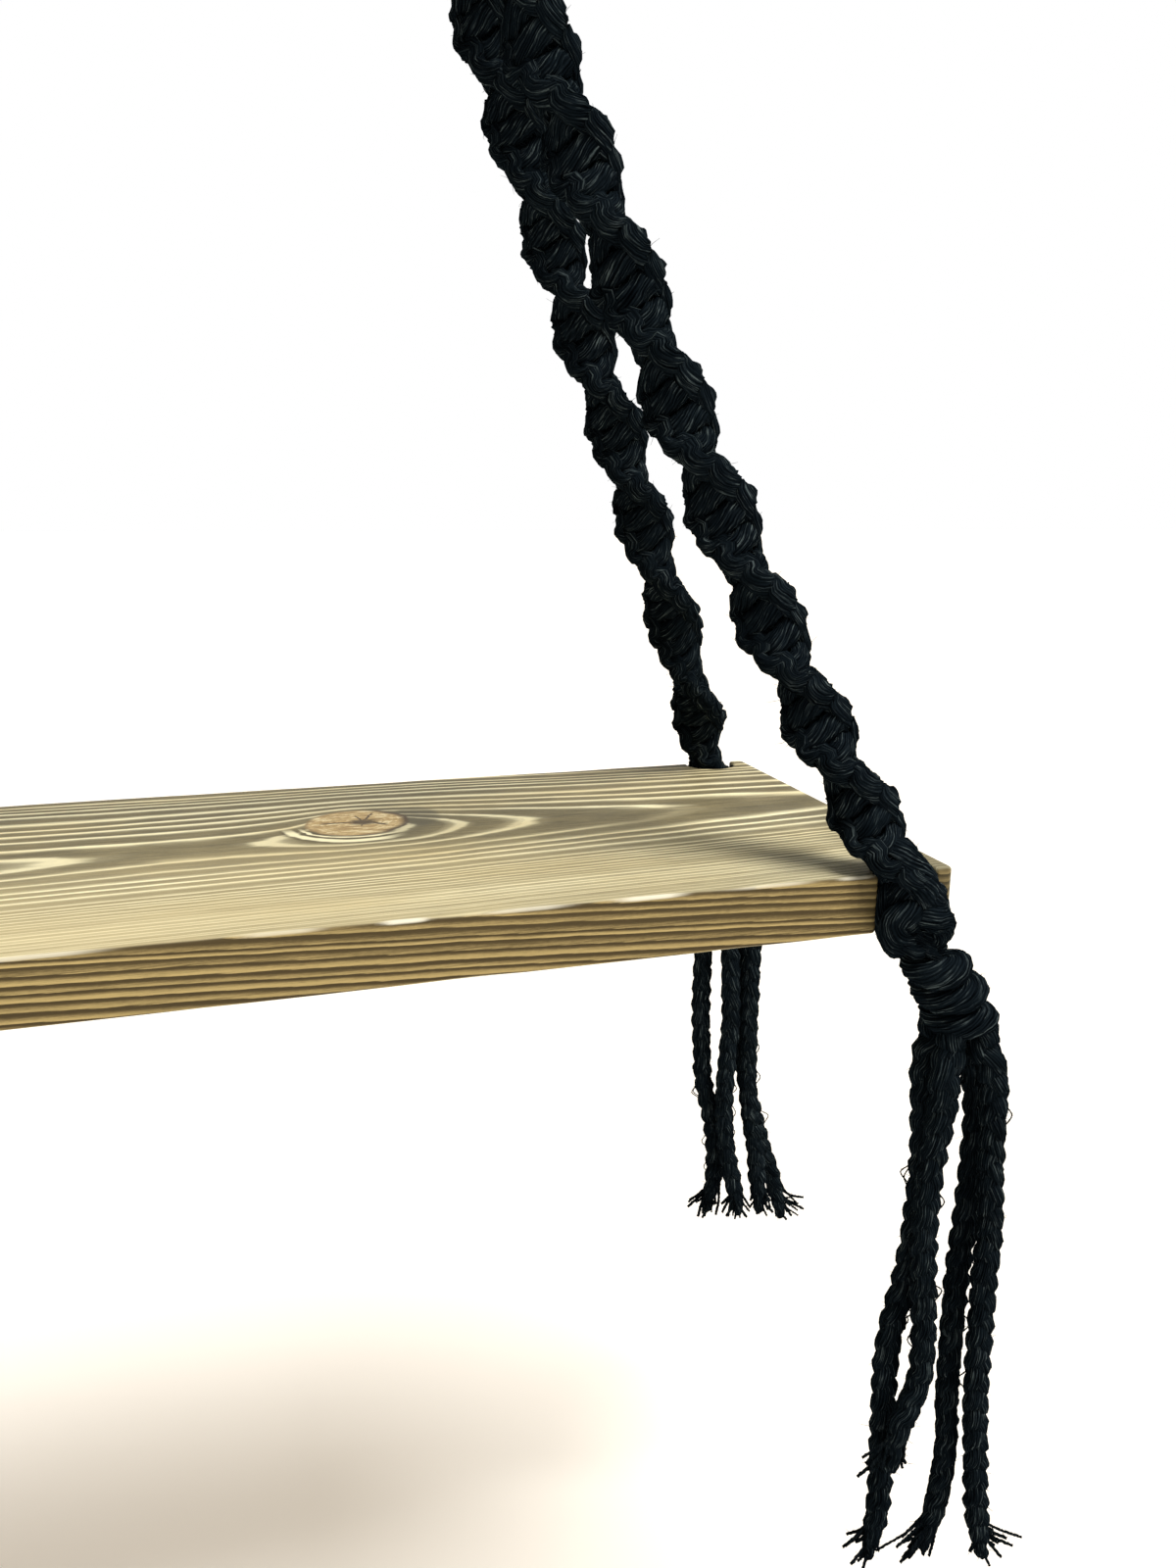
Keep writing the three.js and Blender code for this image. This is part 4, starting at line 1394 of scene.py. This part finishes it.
@dataclass
class Tassel:
    """Four plaited cords that hang from a stop knot, each with a frayed end."""

    corner: Corner
    material: bpy.types.Material
    diameter: float = 9 * MM
    seat: float = 12.3 * MM
    root: float = 8.0 * MM
    strand_half_width: float = 3.3 * MM
    strand_half_depth: float = 3.2 * MM
    swing: float = 1.3 * MM
    weave: float = 1.05 * MM
    period: float = 25 * MM
    fray_length: float = 20 * MM
    fray_yarns: int = 17
    stray_loops: int = 7
    end_fuzz: int = 120
    cord_fuzz: int = 450
    PLAIT_YARNS = Yarns(7, 0.13, 150 * MM, 0.07)
    FRAY_YARNS = Yarns(3, 0.25, 7 * MM, 0.08)
    LOOP_YARNS = Yarns(2, 0.2, 5 * MM)

    def build(self) -> None:
        for number, points in enumerate(self.corner.kind.cord_routes, 1):
            self._build_cord(number, points)

    def _build_cord(self, number: int, points: tuple[Triple, ...]) -> None:
        """Makes one cord with its fray.

        Args:
            number: its number, from one.
            points: its route from the ball, in millimetres.
        """
        name = f"{self.corner.name}_tassel_cord_{number}"
        places = np.array(points) * MM
        start = places[0] / np.linalg.norm(places[0])
        leave = self.corner.put(start * self.seat + self.corner.line.ball)
        places[0] = start * self.root
        route = Route(places + self.corner.line.ball)
        skein = Skein(self.corner.seed * 10 + number)
        ends = self._add_plait(skein, route)
        cord = skein.build(f"{name}_braid", self.material, self.corner.turned)
        fray = self._build_fray(number, name, route, ends, skein)
        body = f"{self.corner.name}_tassel"
        give(fray, body, Slot.COTTON)
        give(cord, body, Slot.COTTON, name)
        path = self.corner.put(route.spaced(3 * MM))
        LOG.info("%s is %.0f mm long", cord.name, route.length / MM)

    def _add_plait(self, skein: Skein, route: Route) -> list[tuple[Array, Array]]:
        """Adds three strands that cross each other.

        Args:
            skein: the cord's mesh.
            route: the cord's middle.

        Returns:
            The place and direction of each strand where the fray starts.
        """
        count = round(route.length / (1.4 * MM))
        along = np.linspace(0, route.length, count)
        middle = route.at(along)
        tangents = route.tangent(along)
        front = square_to(np.tile([0.0, -1.0, 0.0], (count, 1)), tangents)
        side = np.cross(front, tangents)
        drift = skein.chance.uniform(-0.5, 0.5) + 0.45 * np.sin(
            along / (45 * MM) + skein.chance.uniform(0, 2 * np.pi))
        c, s = np.cos(drift)[:, None], np.sin(drift)[:, None]
        side, front = c * side + s * front, c * front - s * side
        taper = 1 - 0.45 * ease(along, route.length - self.fray_length, route.length)
        taper = taper * (1.14 - 0.14 * ease(along, 8 * MM, 40 * MM))
        phase = 2 * np.pi * along / self.period + skein.chance.uniform(0, 2 * np.pi)
        ends = []
        split = int(np.searchsorted(along, route.length - self.fray_length))
        for strand in range(3):
            turn = phase + 2 * np.pi * strand / 3
            x, y = self.swing * np.sin(turn) * taper, self.weave * np.sin(2 * turn) * taper
            path = middle + side * x[:, None] + front * y[:, None]
            out = unit(side * (x / 2)[:, None] + front * (y + np.sign(y) * MM)[:, None])
            half = self.strand_half_width * taper
            skein.add(path, front + 0.3 * out, half, self.strand_half_depth * taper,
                      self.PLAIT_YARNS)
            ends.append((path[split], tangents[split]))
        return ends

    def _build_fray(self, number: int, name: str, route: Route, ends: list[tuple[Array, Array]],
                    cord: Skein) -> bpy.types.Object:
        """Builds the loose yarns at a cord's end, its stray loops and fibres.

        Args:
            number: the cord's number.
            name: the cord's node.
            route: the cord's middle.
            ends: each strand's place and direction where the fray starts.
            cord: the cord's mesh.

        Returns:
            The piece.
        """
        skein = Skein(self.corner.seed * 10 + number + 500)
        chance = skein.chance
        lean = np.array([self.corner.kind.leans[number - 1], 0.0, 0.0])
        for yarn in range(self.fray_yarns):
            root, direction = ends[yarn % 3]
            start = root + chance.normal(0, 0.9 * MM, 3)
            away = chance.uniform(0, 2 * np.pi)
            splay = np.array([math.cos(away), 0.7 * math.sin(away), 0.0])
            splay = splay * chance.uniform(1.5, 8.0) * MM + lean * chance.uniform(0.2, 1.6)
            reach = self.fray_length + chance.uniform(-5, 3) * MM - np.linalg.norm(splay) * 0.4
            points = [start, start + direction * reach * 0.3 + splay * 0.12,
                      start + direction * reach * 0.68 + splay * 0.5 + chance.normal(0, 0.5 * MM, 3),
                      start + direction * reach + splay * 1.1]
            path = Route(points).spaced(1.5 * MM)
            radius = chance.uniform(0.6, 0.9) * MM
            facing = np.tile(unit(chance.normal(0, 1, 3)), (len(path), 1))
            skein.add(path, facing, radius, radius * 0.85, self.FRAY_YARNS, 0.1)
        self._add_stray_loops(skein, route)
        skein.add_fuzz(self.end_fuzz, 1.6 * MM)
        skein.add_fuzz(self.cord_fuzz, 1.5 * MM, ground=cord)
        return skein.build(f"{name}_fray", self.material, self.corner.turned)

    def _add_stray_loops(self, skein: Skein, route: Route) -> None:
        """Adds yarns that stand out of the cord in small loops.

        Args:
            skein: the fray's mesh.
            route: the cord's middle.
        """
        chance = skein.chance
        for _ in range(self.stray_loops):
            place = chance.uniform(8 * MM, route.length - 30 * MM)
            span = chance.uniform(3.5, 7.0) * MM
            along = place + span * np.array([-0.3, 0.0, 0.5, 1.0, 1.3])
            lift = chance.uniform(0.8, 2.2)
            middle = route.at(along)
            tangents = route.tangent(along)
            front = square_to(np.tile([0.0, -1.0, 0.0], (5, 1)), tangents)
            side = np.cross(front, tangents) * chance.choice([-1.0, 1.0])
            out = unit(side + front * chance.uniform(-0.8, 0.8))
            away = np.array([3.0, 4.2, 4.6 + lift, 4.4, 3.0])[:, None] * MM
            path = Route(middle + out * away).spaced(1.0 * MM)
            facing = np.tile(out[0], (len(path), 1))
            skein.add(path, facing, 0.34 * MM, 0.3 * MM, self.LOOP_YARNS)


@dataclass
class RingEnd:
    """The steel ring with the cords folded over it and the wrap that gathers them."""

    cotton: bpy.types.Material
    steel: bpy.types.Material
    wire_radius: float = 2.5 * MM
    ring_radius: float = 27.5 * MM
    ring_height: float = -25 * MM
    loops: int = 8
    loop_pitch: float = math.radians(16.6)
    half_circle_steps: int = 6
    leg_spread_share: float = 1.35
    fit_gap: float = 0.3 * MM
    strand_radius: float = 3.1 * MM
    bundle_radius: float = 14.5 * MM
    bundle_top: float = -67 * MM
    bundle_bottom: float = -101 * MM
    wrap_radius: float = 2.5 * MM
    wrap_turns: int = 5
    wrap_pitch: float = 5.6 * MM
    weld_at: float = math.radians(38)
    folded_seed: int = 900
    folded_fuzz: int = 500
    wrap_seed: int = 901
    wrap_fuzz: int = 400
    FOLDED_YARNS = Yarns(7, 0.2, 30 * MM, 0.05)
    BUNDLE_YARNS = Yarns(14, 0.14, 200 * MM, 0.03)
    GATHERING_YARNS = Yarns(6, 0.2, 26 * MM, 0.05)

    def build(self) -> None:
        """Makes the ring, the loops and the wrap."""
        self._build_ring()
        self._build_loops()
        self._build_wrap()

    def _build_ring(self) -> None:
        """Makes the ring, with its weld at the bottom among the loops."""
        bpy.ops.object.select_all(action="DESELECT")
        bpy.ops.mesh.primitive_torus_add(
            major_segments=128, minor_segments=20, major_radius=self.ring_radius,
            minor_radius=self.wire_radius, location=(0, 0, self.ring_height),
            rotation=(math.pi / 2, 0, 0))
        ring = bpy.context.object
        ring.name = "ring"
        bpy.ops.object.transform_apply(location=True, rotation=True, scale=True)
        with Bench(ring) as bench:
            for reach, swell in ((0.05, 0.35 * MM), (0.02, 0.2 * MM)):
                bench.select(lambda p: abs(self._angle(p) - self.weld_at) < reach)
                bpy.ops.transform.shrink_fatten(value=swell)
        bpy.ops.object.shade_smooth()
        ring.data.materials.clear()
        ring.data.materials.append(self.steel)
        give(ring, RING_BODY, Slot.STEEL, "hanging_ring")

    def _angle(self, point: Vector) -> float:
        """Returns how far round the ring from its top a point lies."""
        return math.atan2(point.x, point.z - self.ring_height)

    def _loop_route(self, index: int) -> Route:
        """Lays one cord's way up, over the ring and down.

        Args:
            index: its place in the row, from nought.

        Returns:
            The cord's middle.
        """
        angle = (index - (self.loops - 1) / 2) * self.loop_pitch
        outward = np.array([math.sin(angle), 0.0, -math.cos(angle)])
        wire = np.array([0, 0, self.ring_height]) + outward * self.ring_radius
        radius = self.wire_radius + self.fit_gap + self.strand_radius
        leg = self.bundle_radius - self.strand_radius
        leg_x = leg * math.sin(angle * self.leg_spread_share)
        leg_y = leg * math.cos(angle * self.leg_spread_share)
        points = [np.array([leg_x * 0.6, -leg_y * 0.6, self.bundle_bottom]),
                  np.array([leg_x, -leg_y, self.bundle_top - self.strand_radius])]
        for i in range(self.half_circle_steps + 1):
            turn = math.pi * i / self.half_circle_steps
            point = wire - outward * radius * math.sin(turn)
            points.append(point - np.array([0, radius * math.cos(turn), 0]))
        points += [np.array([leg_x, leg_y, self.bundle_top - self.strand_radius]),
                   np.array([leg_x * 0.6, leg_y * 0.6, self.bundle_bottom])]
        return Route(points)

    def _build_loops(self) -> None:
        """Makes the folded cords, whose legs run down inside the wrap."""
        skein = Skein(self.folded_seed)
        for index in range(self.loops):
            path = self._loop_route(index).spaced(1.3 * MM)
            skein.add(path, np.array([1.0, 0.0, 0.0]), self.strand_radius * 0.98,
                      self.strand_radius * 0.98, self.FOLDED_YARNS)
        core = np.linspace(self.bundle_bottom - 1 * MM, self.bundle_top, 12)
        path = np.stack([core * 0, core * 0, core], axis=1)
        skein.add(path, np.array([0.0, 1.0, 0.0]), self.bundle_radius * 0.93,
                  self.bundle_radius * 0.93, self.BUNDLE_YARNS, 0.25)
        skein.add_fuzz(self.folded_fuzz)
        give(skein.build("folded_cords", self.cotton), SHELF_BODY, Slot.COTTON, "ring_loops")

    def _build_wrap(self) -> None:
        """Makes the gathering cord, one unbroken winding with its ends tucked in."""
        skein = Skein(self.wrap_seed)
        share = np.linspace(0, 1, 420)
        angle = 2 * np.pi * self.wrap_turns * share
        tuck = np.minimum(ease(share, 0, 0.02), ease(share, 1, 0.98))
        radius = self.bundle_radius + self.fit_gap + self.wrap_radius * (2 * tuck - 1)
        middle = (self.bundle_top + self.bundle_bottom) / 2
        height = middle + self.wrap_pitch * self.wrap_turns * (share - 0.5)
        out = np.stack([np.cos(angle), np.sin(angle), angle * 0], axis=1)
        path = out * radius[:, None] + np.stack([angle * 0, angle * 0, height], axis=1)
        skein.add(path, out, self.wrap_radius * 1.1, self.wrap_radius, self.GATHERING_YARNS)
        skein.add_fuzz(self.wrap_fuzz)
        give(skein.build("gathering_cord", self.cotton), SHELF_BODY, Slot.COTTON, "gathering_wrap")


class Bench:
    """Work on one mesh in edit mode, with its points picked by place."""

    def __init__(self, piece: bpy.types.Object) -> None:
        """Keeps the piece to be worked on."""
        self.piece = piece

    def __enter__(self) -> "Bench":
        """Opens the piece alone in edit mode.

        Returns:
            The bench.
        """
        bpy.ops.object.select_all(action="DESELECT")
        self.piece.select_set(True)
        bpy.context.view_layer.objects.active = self.piece
        bpy.ops.object.mode_set(mode="EDIT")
        return self

    def __exit__(self, *_: Any) -> None:
        """Goes back to object mode."""
        bpy.ops.object.mode_set(mode="OBJECT")

    def select(self, wanted: Callable[[Vector], bool], edges: bool = False) -> None:
        """Selects points or edges by their place.

        Args:
            wanted: whether a place is wanted.
            edges: whether edges are selected, by their middles.
        """
        bpy.ops.mesh.select_mode(type="EDGE" if edges else "VERT")
        bpy.ops.mesh.select_all(action="DESELECT")
        mesh = bmesh.from_edit_mesh(self.piece.data)
        if edges:
            for edge in mesh.edges:
                edge.select_set(wanted((edge.verts[0].co + edge.verts[1].co) / 2))
        else:
            for point in mesh.verts:
                point.select_set(wanted(point.co))
        mesh.select_flush_mode()
        bmesh.update_edit_mesh(self.piece.data)


@dataclass
class PineBoard:
    """The board: rounded corners, four round-bottomed notches and arrises eased by wear."""

    material: bpy.types.Material
    length: float = SIZES.board_length
    depth: float = SIZES.board_depth
    top: float = SIZES.board_top
    thickness: float = SIZES.board_top - SIZES.board_bottom
    corner_radius: float = 2.5 * MM
    arris: float = 1.1 * MM
    notch_width: float = 20 * MM
    notch_depth: float = 13 * MM
    notch_from_end: float = 16 * MM
    slice_step: float = 5 * MM
    wear: float = 0.3 * MM
    wear_waves: int = 10
    wear_seed: int = 41

    def build(self) -> bpy.types.Object:
        """Builds the board.

        Returns:
            The piece.
        """
        middle = self.top - self.thickness / 2
        bpy.ops.object.select_all(action="DESELECT")
        bpy.ops.mesh.primitive_cube_add(size=1, location=(0, 0, middle),
                                        scale=(self.length, self.depth, self.thickness))
        board = bpy.context.object
        board.name = "board"
        bpy.ops.object.transform_apply(location=True, rotation=True, scale=True)
        with Bench(board) as bench:
            bench.select(lambda p: abs(abs(p.x) - self.length / 2) < 0.1 * MM
                         and abs(abs(p.y) - self.depth / 2) < 0.1 * MM
                         and abs(p.z - middle) < 0.1 * MM, edges=True)
            bpy.ops.mesh.bevel(offset=self.corner_radius, segments=6, affect="EDGES")
        for side_x in (-1, 1):
            for side_y in (-1, 1):
                self._cut_notch(board, side_x, side_y, middle)
        self._round_arrises(board)
        self._slice_and_wear(board)
        board.data.materials.clear()
        board.data.materials.append(self.material)
        return give(board, SHELF_BODY, Slot.PINE, "shelf_board")

    def _cut_notch(self, board: bpy.types.Object, side_x: int, side_y: int, middle: float) -> None:
        """Cuts one open notch with a round bottom in a long edge.

        Args:
            board: the board.
            side_x: 1 or -1, the end.
            side_y: 1 or -1, the long edge.
            middle: the height of the board's middle.
        """
        radius = self.notch_width / 2
        floor = self.depth / 2 - self.notch_depth + radius
        place = (side_x * (self.length / 2 - self.notch_from_end), side_y * floor, middle)
        bpy.ops.object.select_all(action="DESELECT")
        bpy.ops.mesh.primitive_cylinder_add(
            vertices=64, radius=radius, depth=self.thickness * 2, location=place)
        cutter = bpy.context.object
        bpy.ops.object.transform_apply(location=True, rotation=True, scale=True)
        with Bench(cutter) as bench:
            bench.select(lambda p: (p.y - place[1]) * side_y > -0.01 * MM)
            bpy.ops.transform.translate(value=(0, side_y * self.notch_depth * 2, 0))
        cut = board.modifiers.new("notch", "BOOLEAN")
        cut.operation = "DIFFERENCE"
        cut.solver = "EXACT"
        cut.object = cutter
        self._apply(board, cut)
        bpy.data.objects.remove(cutter, do_unlink=True)

    @staticmethod
    def _apply(board: bpy.types.Object, modifier: bpy.types.Modifier) -> None:
        """Applies a modifier to the board.

        Args:
            board: the board.
            modifier: the modifier.
        """
        bpy.ops.object.select_all(action="DESELECT")
        board.select_set(True)
        bpy.context.view_layer.objects.active = board
        bpy.ops.object.modifier_apply(modifier=modifier.name)

    def _round_arrises(self, board: bpy.types.Object) -> None:
        """Eases every sharp edge.

        Args:
            board: the board.
        """
        bevel = board.modifiers.new("arris", "BEVEL")
        bevel.width = self.arris
        bevel.segments = 4
        bevel.limit_method = "ANGLE"
        bevel.angle_limit = math.radians(40)
        self._apply(board, bevel)

    def _slice_and_wear(self, board: bpy.types.Object) -> None:
        """Slices the board across so that wear can ease its arrises unevenly.

        Args:
            board: the board.
        """
        with Bench(board):
            count = round(self.length / self.slice_step)
            for i in range(1, count):
                bpy.ops.mesh.select_all(action="SELECT")
                x = -self.length / 2 + self.length * i / count
                bpy.ops.mesh.bisect(plane_co=(x, 0, 0), plane_no=(1, 0, 0))
        chance = np.random.default_rng(self.wear_seed)
        waves = [(chance.uniform(20, 160), chance.uniform(0, 6.3)) for _ in range(self.wear_waves)]
        bottom = self.top - self.thickness
        for point in board.data.vertices:
            p = point.co
            out = self.depth / 2 - abs(p.y)
            face = min(self.top - p.z, p.z - bottom)
            near = max(0.0, 1 - math.hypot(out, face) / (1.6 * self.arris))
            if near > 0:
                shift = 7 if p.y > 0 else 0
                rub = sum(math.sin(p.x / MM * 6.3 / wave + phase + shift) for wave, phase in waves)
                inward = near * max(0.0, rub / 4) * self.wear
                p.y -= math.copysign(inward, p.y)
                p.z -= inward if p.z > (self.top + bottom) / 2 else -inward
        with Bench(board):
            bpy.ops.mesh.select_all(action="SELECT")
            bpy.ops.mesh.remove_doubles(threshold=0.01 * MM)
        bpy.ops.object.shade_smooth_by_angle(angle=math.radians(32))


@dataclass(frozen=True)
class PhotoView:
    """Where the photograph was taken from, its long side being 1600 pixels."""

    place: Triple = (-0.00107, -0.36446, -0.41989)
    forward: Triple = (0.27486, 0.93267, -0.23363)
    up: Triple = (0.06288, 0.22503, 0.97232)
    focal_pixels: float = 1150.0
    long_side_pixels: float = 1600.0
    sensor: float = 36.0

    def make(self) -> None:
        """Adds the camera."""
        data = bpy.data.cameras.new("photo_camera")
        data.sensor_width = self.sensor
        data.lens = self.sensor * self.focal_pixels / self.long_side_pixels
        camera = new_object("photo_camera", data)
        back = -Vector(self.forward).normalized()
        right = Vector(self.up).cross(back).normalized()
        up = back.cross(right)
        turn = Matrix((right, up, back)).transposed().to_4x4()
        camera.matrix_world = Matrix.Translation(self.place) @ turn
        bpy.context.scene.camera = camera


@dataclass(frozen=True)
class Studio:
    """A white room, lighter on its right, with a broad sun high up and a pale floor far below."""

    floor_height: float = -0.91
    floor_size: float = 60.0
    sky_dim: float = 0.12
    sky_bright: float = 0.75
    sky_from: Triple = (0.80, -0.48, 0.36)
    sun_from: Triple = (0.25, -0.33, 0.97)
    sun_strength: float = 3.3
    sun_spread: float = math.radians(27)
    sun_colour: Triple = (1.0, 0.985, 0.96)
    floor_colour: Triple = (0.86, 0.84, 0.80)
    floor_glow: Triple = (0.275, 0.215, 0.145)

    def make(self) -> None:
        """Adds the sky, the sun and the floor."""
        bpy.context.scene.view_settings.view_transform = "Standard"
        self._make_sky()
        self._make_sun()
        self._make_floor()

    @staticmethod
    def _seen(graph: Graph) -> Value:
        """Finds the rays that show the background.

        Args:
            graph: the material's nodes.

        Returns:
            One for those rays, else nought.
        """
        path = graph.node("ShaderNodeLightPath", out="Is Camera Ray")
        outputs = path.socket.node.outputs
        glossy = Value(graph, outputs["Is Glossy Ray"])
        through = Value(graph, outputs["Is Transmission Ray"])
        return (path + glossy + through).math("MINIMUM", 1.0)

    def _make_sky(self) -> None:
        """Makes a world that looks white and lights softly from one side."""
        world = bpy.data.worlds.new("studio")
        world.use_nodes = True
        bpy.context.scene.world = world
        graph = Graph(world.node_tree)
        way = graph.node("ShaderNodeTexCoord", out="Generated")
        near = graph.node("ShaderNodeVectorMath", {"operation": "DOT_PRODUCT"},
                          {0: way, 1: self.sky_from}, "Value").math("MAXIMUM", 0.0)
        light = near * (self.sky_bright - self.sky_dim) + self.sky_dim
        strength = graph.node("ShaderNodeMix", None, {0: self._seen(graph), 2: light, 3: 1.0})
        shader = graph.node("ShaderNodeBackground", None, {"Color": (1, 1, 1, 1), "Strength": strength})
        graph.finish(shader, "ShaderNodeOutputWorld")

    def _make_sun(self) -> None:
        """Makes the sun."""
        data = bpy.data.lights.new("broad_sun", "SUN")
        data.energy = self.sun_strength
        data.angle = self.sun_spread
        data.color = self.sun_colour
        sun = new_object("broad_sun", data)
        sun.rotation_euler = Vector(self.sun_from).to_track_quat("Z", "Y").to_euler()

    def _make_floor(self) -> None:
        """Makes the floor, which clips to white where no shadow lies."""
        half = self.floor_size / 2
        mesh = bpy.data.meshes.new("floor")
        corners = [(-half, -half), (half, -half), (half, half), (-half, half)]
        mesh.from_pydata([(x, y, self.floor_height) for x, y in corners], [], [(0, 1, 2, 3)])
        floor = new_object("floor", mesh)
        material, graph = new_material("floor_white")
        diffuse = graph.node("ShaderNodeBsdfDiffuse", None, {"Color": (*self.floor_colour, 1)})
        glow = graph.node("ShaderNodeEmission", None, {
            "Color": (*self.floor_glow, 1), "Strength": self._seen(graph)})
        graph.finish(graph.node("ShaderNodeAddShader", None, {0: diffuse, 1: glow}))
        mesh.materials.append(material)


def main() -> None:
    """Builds the shelf's looks in order: view, cords, ropes, ring and board."""
    logging.basicConfig(level=logging.INFO, format="%(name)s: %(message)s")
    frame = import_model()
    LOG.info("%d nodes in the frame", len(frame["nodes"]))
    PhotoView().make()
    cotton = CottonFinish().make()
    corners = [
        Corner("front_right", FRONT_ROPE, False, 11),
        Corner("back_right", BACK_ROPE, False, 12),
        Corner("back_left", FRONT_ROPE, True, 13),
        Corner("front_left", BACK_ROPE, True, 14),
    ]
    for corner in corners:
        Tassel(corner, cotton).build()
    for corner in corners:
        SpiralSinnet(corner, cotton).build()
        StopKnot(corner, cotton).build()
    RingEnd(cotton, SteelFinish().make()).build()
    PineBoard(PineFinish().make()).build()
    Studio().make()


if __name__ == "__main__":
    main()
